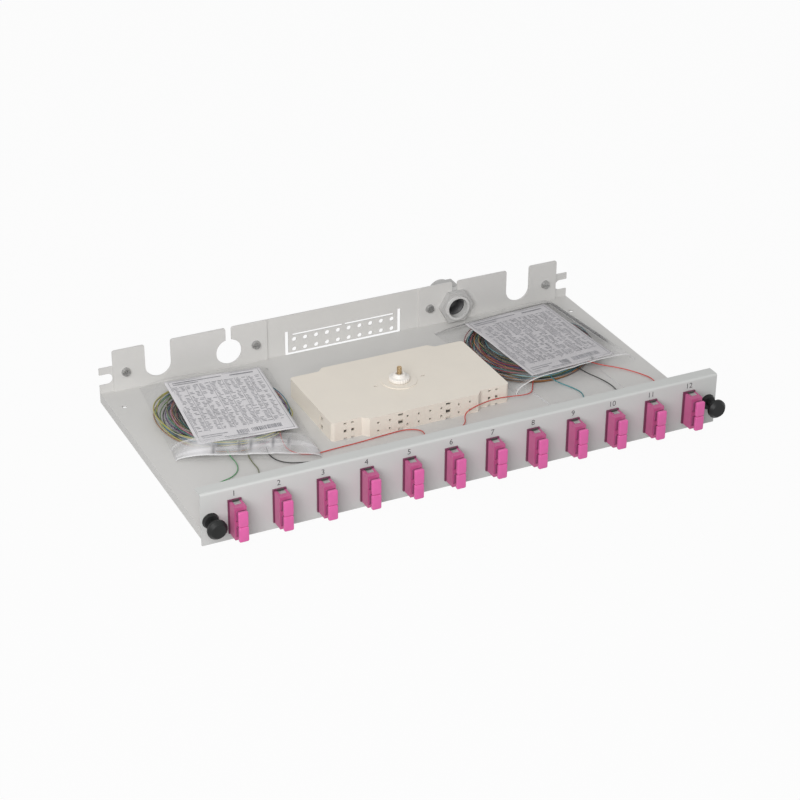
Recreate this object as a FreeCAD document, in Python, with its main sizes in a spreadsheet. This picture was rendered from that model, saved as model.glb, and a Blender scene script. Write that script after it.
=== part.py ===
"""Slide-out drawer of a rack-mounted fibre patch panel, in millimetres.

+X runs along the front plate, +Y to the back, +Z up. The origin is the middle of the front plate's lower
edge, halfway through its thickness, so the plate and the tray's runners stand on Z = 0.
"""
import FreeCAD, Part
import math
import os
import re

SIZES = {
    # Front plate, one sheet with a return folded back along its top
    "panel_width": 440.0,
    "panel_height": 43.5,
    "panel_thickness": 1.5,
    "panel_return": 11.0,
    "panel_bend": 1.8,
    # Tray, one folded sheet: floor, runners, rear wall with a bend-out flap, forked corners
    "sheet": 1.2,
    "side_inset": 2.8,
    "tray_depth": 236.3,
    "floor_top": 8.5,
    "window_arm": 14.0,
    "window_depth": 20.0,
    "wall_width": 176.0,
    "wall_top": 44.8,
    "flap_width": 104.6,
    "flap_slot": 3.0,
    "flap_foot": 2.3,
    "flap_top": 29.7,
    "fold_height": 25.9,
    "fold_slot": 1.8,
    "fold_end": 5.4,
    "fold_bridge": 2.4,
    "flap_hole": 4.0,
    "flap_pitch_x": 10.1,
    "flap_pitch_z": 9.2,
    "flap_low_row": 12.2,
    "corner_width": 31.0,
    "corner_top": 31.2,
    "fork_low": 15.8,
    "fork_gap": 9.3,
    "fork_depth": 11.4,
    "floor_hole": 4.0,
    "floor_hole_inset": 10.7,
    "floor_hole_setback": 30.0,
    # Gland plates and their screws
    "plate_thickness": 1.5,
    "plate_overlap": 17.4,
    "plate_inset": 11.5,
    "plate_top": 45.5,
    "plate_corner": 1.8,
    "gland_hole": 22.5,
    "notch_inset": 38.8,
    "notch_z": 25.9,
    "keyhole_inset": 34.3,
    "keyhole_z": 23.2,
    "keyhole_slot": 5.2,
    "outer_screw_inset": 10.9,
    "inner_screw_inset": 10.3,
    "screw_z": 24.5,
    "screw_thread": 4.0,
    "screw_clearance": 0.2,
    "screw_head": 8.0,
    "screw_crown": 6.4,
    "screw_head_height": 2.6,
    "screw_tail": 4.0,
    "screw_slot": 1.0,
    # Push-pull latches at both ends of the front plate
    "latch_inset": 7.3,
    "latch_z": 20.0,
    "grommet_flange": 13.0,
    "grommet_face": 11.0,
    "grommet_lip": 3.0,
    "grommet_seat": 8.0,
    "grommet_shank": 6.6,
    "grommet_reach": 9.0,
    "latch_pin": 5.0,
    "latch_pin_tail": 5.0,
    "running_gap": 0.1,
    "latch_head": 15.6,
    "latch_head_rim": 2.6,
    "latch_head_dome": 2.8,
    "latch_crown": 11.0,
    "latch_round": 0.8,
    "latch_shoulder": 13.4,
    "latch_shoulder_length": 2.6,
    "latch_neck": 7.0,
    "latch_draw": 6.1,
    # Duplex couplers in the front plate, with spring clips
    "adapter_inset": 26.0,
    "adapter_width": 9.5,
    "adapter_height": 27.0,
    "adapter_z": 20.0,
    "adapter_front": 12.5,
    "adapter_rear": 13.5,
    "adapter_collar": 1.5,
    "adapter_lip": 0.6,
    "cutout_gap": 0.15,
    "port_pitch": 12.7,
    "port_width": 7.6,
    "port_height": 9.2,
    "port_depth": 10.0,
    "ferrule_hole": 2.5,
    "clip_width": 5.0,
    "clip_length": 6.5,
    "clip_steel": 0.5,
    "clip_tab": 1.5,
    "clip_tab_setback": 1.5,
    # Dust caps and pigtail plugs
    "cap_width": 7.7,
    "cap_height": 12.5,
    "cap_reach": 6.3,
    "cap_grip": 3.0,
    "cap_neck_width": 5.4,
    "cap_neck_height": 8.0,
    "cap_seat": 0.1,
    "cap_plug": 8.0,
    "cap_gap": 0.2,
    "cap_round": 0.8,
    "connector_tail": 12.0,
    "boot_length": 18.0,
    "boot_root": 5.4,
    "boot_tip": 2.2,
    # Cable gland in the right-hand keyhole
    "gland_thread": 22.0,
    "gland_bore": 18.0,
    "gland_hex": 27.0,
    "gland_collar": 6.0,
    "gland_inside": 7.6,
    "gland_outside": 15.0,
    "locknut_thickness": 5.5,
    "thread_gap": 0.08,
    "gland_cap_gap": 0.6,
    "gland_cap_length": 21.0,
    "gland_cap_barrel": 15.0,
    "gland_cap_mouth": 19.0,
    "gland_cap_crown": 23.5,
    "seal_length": 5.0,
    "seal_bore": 12.0,
    # Splice cassette on its stud
    "cassette_length": 157.0,
    "cassette_width": 84.0,
    "cassette_y": 126.5,
    "cassette_tray": 7.25,
    "cassette_wall": 1.5,
    "cassette_base": 1.2,
    "cassette_cover": 1.8,
    "cassette_boss": 12.0,
    "cassette_corner": 3.0,
    "cassette_nose": 4.8,
    "cassette_nose_width": 96.0,
    "splice_rib": 1.2,
    "splice_rib_length": 40.0,
    "splice_rib_height": 3.4,
    "splice_rib_pitch": 4.0,
    "splice_offset": 26.0,
    "cover_disc": 29.0,
    "cover_disc_height": 0.7,
    "cover_mark_x": 21.0,
    "cover_mark_length": 3.6,
    "cover_mark_width": 1.6,
    "small_hole": 1.8,
    "clip_notch_width": 4.4,
    "clip_notch_height": 1.9,
    "tie_notch_width": 2.6,
    "tie_notch_height": 1.4,
    "side_slot_width": 6.0,
    "side_slot_height": 3.4,
    "side_slot_setback": 20.5,
    "stud": 4.0,
    "stud_gap": 0.25,
    "stud_top": 37.5,
    "stud_slot": 0.9,
    "stud_slot_depth": 1.2,
    "nut_diameter": 17.0,
    "nut_thickness": 3.5,
    "nut_hub": 9.5,
    "nut_hub_root": 11.9,
    "nut_hub_height": 3.0,
    "nut_seat": 0.1,
    # Clear bags with their papers and coils
    "film": 0.4,
    "bag_height": 13.0,
    "bag_round": 5.5,
    "left_bag_side_gap": 21.5,
    "left_bag_inner_gap": 6.0,
    "left_bag_length": 146.0,
    "left_bag_gap": 8.35,
    "left_bag_turn": -6.5,
    "right_bag_side_gap": 13.5,
    "right_bag_inner_gap": 4.0,
    "right_bag_length": 132.0,
    "right_bag_gap": 10.0,
    "right_bag_turn": 5.5,
    "paper": 0.2,
    "paper_width": 81.0,
    "paper_length": 108.0,
    "left_paper_side_gap": 9.6,
    "left_paper_gap": 22.25,
    "left_paper_turn": -5.8,
    "right_paper_side_gap": 17.2,
    "right_paper_gap": 24.85,
    "right_paper_turn": 3.5,
    "coil_width": 17.5,
    "coil_height": 9.2,
    "coil_round": 4.0,
    "left_coil_margin": 3.6,
    "left_coil_aside": 1.0,
    "left_coil_gap": 22.4,
    "left_coil_straight": 9.9,
    "right_coil_margin": 6.75,
    "right_coil_aside": -3.5,
    "right_coil_gap": 19.0,
    "right_coil_straight": 4.0,
    # Loose fibres
    "fibre": 0.9,
}

ADAPTER_COUNT = 12
FLAP_COLUMNS = 10
FLAP_ROWS = 2
SPLICE_RIBS = 6

# Places along the cassette's front wall, to either side of its middle
SMALL_HOLES_X = (5, 15, 30.5, 40.5)
CLIP_NOTCH_X = 21
TIE_NOTCHES_X = (60.5, 67)

# Points of the loose fibres, from the coil in a bag towards the plug behind the coupler of that number
FIBRE_ROUTES = {
    1: [(-159, 107, 13.5), (-160.5, 96, 10.6), (-158.5, 85, 9.8), (-161, 74.5, 9.3), (-169, 66.5, 9.3),
        (-180, 63.5, 9.6), (-190.5, 54.5, 12)],
    2: [(-143.8, 103, 13.5), (-147, 91, 10.6), (-147.5, 80, 9.8), (-146.5, 69.5, 9.3), (-150, 60, 10),
        (-156, 52.5, 12.6)],
    4: [(-127.4, 103.5, 13.5), (-131, 92, 10.6), (-131.5, 80.5, 9.8), (-126, 70.5, 9.3),
        (-114, 64.5, 9.3), (-101, 61.5, 9.6), (-91.5, 54.5, 12)],
    6: [(-112.6, 109, 13.5), (-115, 97, 11), (-115.5, 86, 9.9), (-110, 76.5, 9.8), (-98, 71.6, 9.4),
        (-82.6, 73.2, 9.3), (-59.6, 73.9, 9.3), (-34.4, 76.4, 9.3), (-17, 77.3, 9.3), (-7, 71, 9.4),
        (-8.5, 61, 10.6), (-15.5, 52.5, 12.6)],
    7: [(120.6, 115, 13.5), (113, 106, 11.2), (107, 96.5, 10), (101.5, 87.5, 10), (92, 83.8, 11.6),
        (79, 82.8, 14), (63.4, 82.3, 15.4), (46.5, 78.2, 15.6), (36.5, 77, 13), (33, 74.5, 10.4),
        (30.2, 66.8, 9.6), (21, 57.5, 11.4)],
    10: [(127.9, 109.5, 13.5), (127, 99.5, 10.8), (131, 91, 9.8), (136.5, 82, 9.3), (139.5, 72, 9.3),
         (136, 62, 9.6), (128, 53.3, 12.4)],
    11: [(153, 109.5, 13.5), (157.5, 98.5, 11), (163.5, 88, 9.8), (167.5, 76.5, 9.3), (167.5, 65, 9.5),
         (162.5, 54, 12.3)],
    12: [(164, 117, 13.5), (170.5, 108.5, 12.2), (178.5, 102.5, 10.7), (187, 96.5, 9.9),
         (193.5, 88.5, 9.8), (199.5, 80, 9.3), (204, 70, 9.3), (202.5, 59.5, 10), (197, 52, 12.4)],
}

doc = FreeCAD.newDocument("fibre_patch_drawer")
sheet = doc.addObject("Spreadsheet::Sheet", "Dims")
for row, (alias, value) in enumerate(SIZES.items(), 1):
    sheet.set(f"A{row}", alias)
    sheet.set(f"B{row}", str(value))
    sheet.setAlias(f"B{row}", alias)
doc.recompute()

# Formulas for the planes that several pieces share
HALF = "(panel_width / 2 - side_inset)"
PANEL_BACK = "(panel_thickness / 2)"
PANEL_FACE = "(-panel_thickness / 2)"
LATCH_X = "(panel_width / 2 - latch_inset)"
REAR = "(panel_thickness / 2 + tray_depth)"
WALL_FACE = f"({REAR} - sheet)"
PLATE_FACE = f"({WALL_FACE} - plate_thickness)"
PLATE_INNER = "(wall_width / 2 - plate_overlap)"
PLATE_OUTER = f"({HALF} - plate_inset)"
NOTCH_X = f"({PLATE_OUTER} - notch_inset)"
KEYHOLE_X = f"({PLATE_INNER} + keyhole_inset)"
SCREWS_X = (f"({PLATE_OUTER} - outer_screw_inset)", f"({PLATE_INNER} + inner_screw_inset)")
FLOOR_UNDER = "(floor_top - sheet)"
SIDE_FACE = f"({HALF} - sheet)"
CASSETTE_SIDE = "(cassette_length / 2)"
ADAPTER_NOSE = f"({PANEL_FACE} - adapter_front)"
ADAPTER_TAIL = f"({PANEL_BACK} + adapter_rear)"
STACK_TOP = "(floor_top + 2 * cassette_tray + cassette_cover)"
NUT_SEAT = f"({STACK_TOP} + cover_disc_height + nut_seat)"

nodes = {}


def formula(text):
    """The same formula with each size's name pointed at its cell."""
    def pointed(match):
        word = match.group()
        return f"Dims.{word}" if word in SIZES else word
    return re.sub(r"[a-z][a-z_]*", pointed, text)


def bind(item, **formulas):
    """Tie properties of an object to formulas of the sizes; a double underscore stands for a dot."""
    for name, text in formulas.items():
        item.setExpression(name.replace("__", "."), formula(text))
    return item


def place(item, x, y, z):
    """Tie an object's place to three formulas."""
    return bind(item, Placement__Base__x=x, Placement__Base__y=y, Placement__Base__z=z)


def block(name, x, y, z):
    """A box between a low and a high formula on each axis."""
    item = doc.addObject("Part::Box", name)
    bind(item, Length=f"{x[1]} - ({x[0]})", Width=f"{y[1]} - ({y[0]})", Height=f"{z[1]} - ({z[0]})")
    return place(item, x[0], y[0], z[0])


def around(middle, width):
    """The low and high formulas of a span about its middle."""
    return f"({middle} - ({width}) / 2)", f"({middle} + ({width}) / 2)"


def beyond(span, margin=1):
    """A span that runs past both ends of another one, for cutting right through."""
    return f"({span[0]} - {margin})", f"({span[1]} + {margin})"


def mirrored(span, side):
    """A span on the right-hand side, or its mirror image on the left."""
    return span if side > 0 else (f"-({span[1]})", f"-({span[0]})")


def wedge(name, front_width, rear_width, y, z):
    """A block about the middle plane whose width changes evenly from its front to its rear."""
    item = doc.addObject("Part::Wedge", name)
    bind(item, Xmin=f"-({front_width}) / 2", Xmax=f"({front_width}) / 2",
         X2min=f"-({rear_width}) / 2", X2max=f"({rear_width}) / 2",
         Ymin=y[0], Ymax=y[1], Zmin=z[0], Zmax=z[1], Z2min=z[0], Z2max=z[1])
    return item


TURNS = {
    "Y": FreeCAD.Rotation(FreeCAD.Vector(1, 0, 0), -90),
    "Z": FreeCAD.Rotation(),
}


def rod(name, diameter, axis, x, y, z, length):
    """A cylinder that starts at a point and runs along +Y or +Z."""
    item = doc.addObject("Part::Cylinder", name)
    item.Placement.Rotation = TURNS[axis]
    bind(item, Radius=f"({diameter}) / 2", Height=length)
    return place(item, x, y, z)


def taper(name, first, last, axis, x, y, z, length):
    """A cone between two diameters that starts at a point and runs along +Y or +Z."""
    item = doc.addObject("Part::Cone", name)
    item.Placement.Rotation = TURNS[axis]
    bind(item, Radius1=f"({first}) / 2", Radius2=f"({last}) / 2", Height=length)
    return place(item, x, y, z)


def hexagon(name, flats, x, y, z, length):
    """A hexagonal bar along +Y with a flat on top and one below."""
    item = doc.addObject("Part::Prism", name)
    item.Polygon = 6
    item.Placement.Rotation = TURNS["Y"]
    bind(item, Circumradius=f"({flats}) / sqrt(3)", Height=length)
    return place(item, x, y, z)


def joined(name, pieces):
    """One solid from pieces that meet."""
    item = doc.addObject("Part::MultiFuse", name)
    item.Shapes = pieces
    item.Refine = True
    return item


def cut(name, base, tools):
    """A solid with tools taken out of it."""
    item = doc.addObject("Part::Cut", name)
    item.Base = base
    item.Tool = tools[0] if len(tools) == 1 else joined(name + "_tools", tools)
    item.Refine = True
    return item


def rounded(name, base, amount, wanted):
    """A solid with the wanted edges rounded to a radius."""
    doc.recompute()
    item = doc.addObject("Part::Fillet", name)
    item.Base = base
    item.Edges = [(i, amount, amount) for i, edge in enumerate(base.Shape.Edges, 1) if wanted(edge)]
    return item


def group(name, pieces):
    """Separate like solids that share a node."""
    item = doc.addObject("Part::Compound", name)
    item.Links = pieces
    return item


def node(name, item):
    """Name a finished piece, which is written under that name."""
    item.Label = name
    nodes[name] = item
    return item


def runs_along(edge, axis):
    """True where an edge is straight and parallel to a row axis."""
    if len(edge.Vertexes) != 2 or not isinstance(edge.Curve, Part.Line):
        return False
    step = edge.Vertexes[1].Point - edge.Vertexes[0].Point
    return abs(getattr(step, axis)) > 0.999 * step.Length


def adapter_x(index):
    """The middle of a coupler along the plate, counted from 0 at the left."""
    return f"({index / (ADAPTER_COUNT - 1) - 0.5} * (panel_width - 2 * adapter_inset))"


def port_z(level):
    """The middle of a coupler's upper (+1) or lower (-1) port."""
    return f"(adapter_z + {level} * port_pitch / 2)"


# Front plate: the face and its top return are one bend, then the coupler and latch openings are punched
panel_y = (PANEL_FACE, PANEL_BACK)
panel_x = around("0", "panel_width")
blank = joined("panel_blank", [
    block("panel_face", panel_x, panel_y, ("0", "panel_height")),
    block("panel_fold", panel_x, (PANEL_FACE, f"({PANEL_FACE} + panel_return)"),
          ("(panel_height - panel_thickness)", "panel_height")),
])
bent = rounded("panel_bent", blank, sheet.get("panel_bend"),
               lambda edge: runs_along(edge, "x") and edge.BoundBox.YMax < 0
               and edge.BoundBox.ZMin > sheet.get("panel_height") - 0.01)
openings = []
for index in range(ADAPTER_COUNT):
    openings.append(block("coupler_opening", around(adapter_x(index), "adapter_width + 2 * cutout_gap"),
                          beyond(panel_y), around("adapter_z", "adapter_height + 2 * cutout_gap")))
for side in (-1, 1):
    openings.append(rod("latch_opening", "grommet_seat", "Y", f"{side} * {LATCH_X}",
                        f"{PANEL_FACE} - 1", "latch_z", "panel_thickness + 2"))
node("front_panel", cut("front_panel", bent, openings))

# Tray: the floor with a window behind the couplers, runners bent down, rear wall and forked corners bent up
wall_y = (WALL_FACE, REAR)
tray_y = (PANEL_BACK, REAR)
floor_z = (FLOOR_UNDER, "floor_top")
sheets = [
    block("tray_floor", around("0", f"2 * {HALF}"), tray_y, floor_z),
    block("rear_wall", around("0", "wall_width"), wall_y, (FLOOR_UNDER, "wall_top")),
]
cuts = [
    block("coupler_window", around("0", f"2 * ({HALF} - window_arm)"),
          (f"({PANEL_BACK} - 1)", f"({PANEL_BACK} + window_depth)"), beyond(floor_z)),
    block("flap_foot_slot", around("0", "flap_width"), beyond(wall_y),
          (FLOOR_UNDER, f"({FLOOR_UNDER} + flap_foot)")),
]
for side in (-1, 1):
    sheets.append(block("runner", mirrored((f"({HALF} - sheet)", HALF), side), tray_y, ("0", "floor_top")))
    sheets.append(block("corner", mirrored((f"({HALF} - corner_width)", HALF), side), wall_y,
                        (FLOOR_UNDER, "corner_top")))
    fork_end = f"({HALF} - fork_depth + fork_gap / 2)"
    cuts.append(block("fork_slot", mirrored((fork_end, f"({HALF} + 1)"), side), beyond(wall_y),
                      ("fork_low", "(fork_low + fork_gap)")))
    cuts.append(rod("fork_round", "fork_gap", "Y", f"{side} * {fork_end}", f"{WALL_FACE} - 1",
                    "fork_low + fork_gap / 2", "sheet + 2"))
    cuts.append(rod("floor_opening", "floor_hole", "Z", f"{side} * ({HALF} - floor_hole_inset)",
                    f"{REAR} - floor_hole_setback", f"{FLOOR_UNDER} - 1", "sheet + 2"))
    for screw_x in SCREWS_X:
        cuts.append(rod("wall_screw_hole", "screw_thread + 2 * screw_clearance", "Y",
                        f"{side} * {screw_x}", f"{WALL_FACE} - 1", "screw_z", "sheet + 2"))
    cuts.append(block("flap_side", around(f"{side} * flap_width / 2", "flap_slot"), beyond(wall_y),
                      (FLOOR_UNDER, "flap_top")))
    cuts.append(block("flap_fold", mirrored(("fold_bridge / 2", "(flap_width / 2 - fold_end)"), side),
                      beyond(wall_y), around("fold_height", "fold_slot")))
for column in range(FLAP_COLUMNS):
    for level in range(FLAP_ROWS):
        cuts.append(rod("flap_opening", "flap_hole", "Y",
                        f"{column - (FLAP_COLUMNS - 1) / 2} * flap_pitch_x", f"{WALL_FACE} - 1",
                        f"flap_low_row + {level} * flap_pitch_z", "sheet + 2"))
node("tray", cut("tray", joined("tray_sheets", sheets), cuts))

# Gland plates: each has an open notch, a keyhole notch and two screw holes
plate_y = (PLATE_FACE, WALL_FACE)
for side, name in ((-1, "left"), (1, "right")):
    plate = block(name + "_plate_blank", mirrored((PLATE_INNER, PLATE_OUTER), side), plate_y,
                  ("floor_top", "plate_top"))
    notches = []
    for middle, height, mouth in ((NOTCH_X, "notch_z", "gland_hole"),
                                  (KEYHOLE_X, "keyhole_z", "keyhole_slot")):
        notches.append(rod("notch_round", "gland_hole", "Y", f"{side} * {middle}", f"{PLATE_FACE} - 1",
                           height, "plate_thickness + 2"))
        notches.append(block("notch_mouth", around(f"{side} * {middle}", mouth), beyond(plate_y),
                             (height, "(plate_top + 1)")))
    for screw_x in SCREWS_X:
        notches.append(rod("plate_screw_hole", "screw_thread + 2 * screw_clearance", "Y",
                           f"{side} * {screw_x}", f"{PLATE_FACE} - 1", "screw_z", "plate_thickness + 2"))
    punched = cut(name + "_plate_punched", plate, notches)
    node(name + "_gland_plate",
         rounded(name + "_gland_plate", punched, sheet.get("plate_corner"),
                 lambda edge: runs_along(edge, "y") and edge.BoundBox.ZMin > sheet.get("plate_top") - 0.01))

# Screws: slotted pan heads on the inner side, through the plate and the wall behind it
screws = []
head_face = f"({PLATE_FACE} - screw_head_height)"
for side in (-1, 1):
    for screw_x in SCREWS_X:
        at_x = f"{side} * {screw_x}"
        screw = joined("screw_solid", [
            taper("screw_pan", "screw_crown", "screw_head", "Y", at_x, head_face, "screw_z",
                  "screw_head_height"),
            rod("screw_shank", "screw_thread", "Y", at_x, PLATE_FACE, "screw_z",
                "plate_thickness + sheet + screw_tail"),
        ])
        slot = block("screw_slot_cut", around(at_x, "screw_head"),
                     (f"({head_face} - 1)", f"({head_face} + screw_slot)"), around("screw_z", "screw_slot"))
        screws.append(cut("screw", screw, [slot]))
node("plate_screws", group("plate_screws", screws))

# Latches: a grommet in the front plate and a plunger whose pin spreads it, drawn out as when unlocked
lip_face = f"({PANEL_FACE} - grommet_lip)"
neck_end = f"({lip_face} - latch_draw)"
rim_back = f"({neck_end} - latch_shoulder_length)"
rim_face = f"({rim_back} - latch_head_rim)"
for side, name in ((-1, "left"), (1, "right")):
    at_x = f"{side} * {LATCH_X}"
    grommet = joined(name + "_grommet_solid", [
        taper("grommet_flare", "grommet_face", "grommet_flange", "Y", at_x, lip_face, "latch_z",
              "grommet_lip"),
        rod("grommet_neck", "grommet_seat", "Y", at_x, PANEL_FACE, "latch_z", "panel_thickness"),
        rod("grommet_tube", "grommet_shank", "Y", at_x, PANEL_BACK, "latch_z", "grommet_reach"),
    ])
    bore = rod("grommet_bore", "latch_pin + 2 * running_gap", "Y", at_x, f"{lip_face} - 1", "latch_z",
               "grommet_lip + panel_thickness + grommet_reach + 2")
    node(name + "_latch_grommet", cut(name + "_latch_grommet", grommet, [bore]))
    plunger = joined(name + "_plunger_solid", [
        rod("plunger_pin", "latch_pin", "Y", at_x, rim_back, "latch_z", f"latch_pin_tail - {rim_back}"),
        taper("plunger_neck", "latch_shoulder", "latch_neck", "Y", at_x, rim_back, "latch_z",
              "latch_shoulder_length"),
        rod("plunger_rim", "latch_head", "Y", at_x, rim_face, "latch_z", "latch_head_rim"),
        taper("plunger_dome", "latch_crown", "latch_head", "Y", at_x, f"{rim_face} - latch_head_dome",
              "latch_z", "latch_head_dome"),
    ])
    node(name + "_latch_plunger",
         rounded(name + "_latch_plunger", plunger, sheet.get("latch_round"),
                 lambda edge: isinstance(edge.Curve, Part.Circle)
                 and edge.Curve.Radius > sheet.get("latch_neck") / 2 + 0.01))

# Couplers: a collar against the plate, two ports at each end and a ferrule channel between them, with a
# spring clip above and below
couplers = []
clips = []
collar_y = (f"({PANEL_FACE} - adapter_collar)", PANEL_FACE)
clip_y = (f"({collar_y[0]} - clip_length)", collar_y[0])
lug_root = f"({collar_y[0]} - clip_tab_setback)"
lug_y = (f"({lug_root} - clip_steel)", lug_root)
for index in range(ADAPTER_COUNT):
    at_x = adapter_x(index)
    body = joined("coupler_solid", [
        block("coupler_body", around(at_x, "adapter_width"), (ADAPTER_NOSE, ADAPTER_TAIL),
              around("adapter_z", "adapter_height")),
        block("coupler_collar", around(at_x, "adapter_width + 2 * adapter_lip"), collar_y,
              around("adapter_z", "adapter_height + 2 * adapter_lip")),
    ])
    ports = []
    for level in (-1, 1):
        port_x = around(at_x, "port_width")
        port_span = around(port_z(level), "port_height")
        ports.append(block("front_port", port_x,
                           (f"({ADAPTER_NOSE} - 1)", f"({ADAPTER_NOSE} + port_depth)"), port_span))
        ports.append(block("rear_port", port_x,
                           (f"({ADAPTER_TAIL} - port_depth)", f"({ADAPTER_TAIL} + 1)"), port_span))
        ports.append(rod("ferrule_channel", "ferrule_hole", "Y", at_x, ADAPTER_NOSE, port_z(level),
                         f"{ADAPTER_TAIL} - ({ADAPTER_NOSE})"))
        root = f"(adapter_z + {level} * adapter_height / 2)"
        strip_z = (root, f"({root} + clip_steel)") if level > 0 else (f"({root} - clip_steel)", root)
        lug_z = (root, f"({root} + clip_tab)") if level > 0 else (f"({root} - clip_tab)", root)
        clips.append(joined("clip", [
            block("clip_strip", around(at_x, "clip_width"), clip_y, strip_z),
            block("clip_lug", around(at_x, "clip_width"), lug_y, lug_z),
        ]))
    couplers.append(cut("coupler", body, ports))
node("adapters", group("adapters", couplers))
node("adapter_clips", group("adapter_clips", clips))


def dust_cap(name, index, level, facing):
    """A cap for one port: a rounded grip on a neck and a plug that fills the port; facing is -1 in front."""
    seat = ADAPTER_NOSE if facing < 0 else ADAPTER_TAIL
    near = f"({seat} + {facing} * cap_seat)"
    tip = f"({seat} + {facing} * cap_reach)"
    grip_back = f"({tip} - {facing} * cap_grip)"
    end = f"({seat} - {facing} * cap_plug)"
    whole = joined(name + "_solid", [
        block(name + "_grip", around(adapter_x(index), "cap_width"), (tip, grip_back)[::-facing],
              around(port_z(level), "cap_height")),
        block(name + "_neck", around(adapter_x(index), "cap_neck_width"), (grip_back, near)[::-facing],
              around(port_z(level), "cap_neck_height")),
        block(name + "_plug", around(adapter_x(index), "port_width - 2 * cap_gap"), (near, end)[::-facing],
              around(port_z(level), "port_height - 2 * cap_gap")),
    ])
    reach = sheet.get("panel_thickness") / 2 + sheet.get("cap_reach")
    reach += sheet.get("adapter_front") if facing < 0 else sheet.get("adapter_rear")
    return rounded(name, whole, sheet.get("cap_round"),
                   lambda edge: min(abs(edge.BoundBox.YMin), abs(edge.BoundBox.YMax)) > reach - 0.01)


# Dust caps on every front port
for index in range(ADAPTER_COUNT):
    for level, row_name in ((1, "upper"), (-1, "lower")):
        label = f"{row_name}_cap_{index + 1:02d}"
        node(label, dust_cap(label, index, level, -1))

# Behind the plate: pigtail plugs in the lower ports that have a fibre, dust caps in the others
plugs = []
rear_caps = []
plug_tail = f"({ADAPTER_TAIL} + connector_tail)"
for index in range(ADAPTER_COUNT):
    for level in (1, -1):
        if level > 0 or index + 1 not in FIBRE_ROUTES:
            rear_caps.append(dust_cap("rear_cap", index, level, 1))
            continue
        plugs.append(joined("connector", [
            block("connector_body", around(adapter_x(index), "port_width - 2 * cap_gap"),
                  (f"({ADAPTER_TAIL} - cap_plug)", plug_tail),
                  around(port_z(level), "port_height - 2 * cap_gap")),
            taper("connector_boot", "boot_root", "boot_tip", "Y", adapter_x(index), plug_tail,
                  port_z(level), "boot_length"),
        ]))
node("rear_dust_caps", group("rear_dust_caps", rear_caps))
node("pigtail_connectors", group("pigtail_connectors", plugs))


def gland_rod(name, diameter, start, length):
    """A cylinder on the gland's axis, from a place along Y."""
    return rod(name, diameter, "Y", KEYHOLE_X, start, "keyhole_z", length)


def gland_hexagon(name, start, length):
    """A hexagon on the gland's axis, from a place along Y."""
    return hexagon(name, "gland_hex", KEYHOLE_X, start, "keyhole_z", length)


# Cable gland: threaded body through the right keyhole, locknut inside, cap and seal outside
thread_start = f"({PLATE_FACE} - gland_inside)"
collar_back = f"({WALL_FACE} + gland_collar)"
thread_end = f"({collar_back} + gland_outside)"
barrel = joined("gland_solid", [
    gland_rod("gland_inner_thread", "gland_thread", thread_start, "gland_inside + plate_thickness"),
    gland_hexagon("gland_hex_collar", WALL_FACE, "gland_collar"),
    gland_rod("gland_outer_thread", "gland_thread", collar_back, "gland_outside"),
])
passage = gland_rod("gland_passage", "gland_bore", f"{thread_start} - 1",
                    f"{thread_end} - {thread_start} + 2")
node("gland_body", cut("gland_body", barrel, [passage]))
locknut_face = f"({PLATE_FACE} - locknut_thickness)"
locknut = gland_hexagon("locknut_hex", locknut_face, "locknut_thickness")
locknut_bore = gland_rod("locknut_bore", "gland_thread + 2 * thread_gap", f"{locknut_face} - 1",
                         "locknut_thickness + 2")
node("gland_locknut", cut("gland_locknut", locknut, [locknut_bore]))
cap_start = f"({collar_back} + gland_cap_gap)"
crown_start = f"({cap_start} + gland_cap_barrel)"
dome = joined("gland_cap_solid", [
    gland_hexagon("gland_cap_hex", cap_start, "gland_cap_barrel"),
    taper("gland_cap_taper", "gland_hex", "gland_cap_crown", "Y", KEYHOLE_X, crown_start, "keyhole_z",
          "gland_cap_length - gland_cap_barrel"),
])
node("gland_cap", cut("gland_cap", dome, [
    gland_rod("gland_cap_thread", "gland_thread + 2 * thread_gap", f"{cap_start} - 1",
              f"{thread_end} - {cap_start} + seal_length + 1 + thread_gap"),
    gland_rod("gland_cap_opening", "gland_cap_mouth", cap_start, "gland_cap_length + 1"),
]))
seal = gland_rod("seal_ring", "gland_thread", thread_end, "seal_length")
seal_hole = gland_rod("seal_hole", "seal_bore", f"{thread_end} - 1", "seal_length + 2")
node("gland_seal", cut("gland_seal", seal, [seal_hole]))

# Splice cassette: two stacked trays with a splice comb inside, a nose along the front and the rear, notches
# for clips and ties in front, and a cover of the same outline
cassette_y = around("cassette_y", "cassette_width")
nose_face = f"({cassette_y[0]} - cassette_nose)"
nose_back = f"({cassette_y[1]} + cassette_nose)"
nose_root_width = "cassette_nose_width + 2 * cassette_nose"


def cassette_outline(name, z):
    """A slab with the cassette's outline: rounded corners and two noses with slanted ends."""
    slab = block(name + "_slab", around("0", "cassette_length"), cassette_y, z)
    soft = rounded(name + "_soft", slab, sheet.get("cassette_corner"), lambda edge: runs_along(edge, "z"))
    front = wedge(name + "_nose", "cassette_nose_width", nose_root_width, (nose_face, cassette_y[0]), z)
    rear = wedge(name + "_tail", nose_root_width, "cassette_nose_width", (cassette_y[1], nose_back), z)
    return joined(name + "_outline", [soft, front, rear])


def wall_notch(x, y, width, height, z):
    """A notch or hole through a front wall of the cassette, at a place along it."""
    return block("wall_notch", around(str(x), width), (f"({y} - 1)", f"({y} + cassette_wall + 0.1)"),
                 around(z, height))


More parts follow.
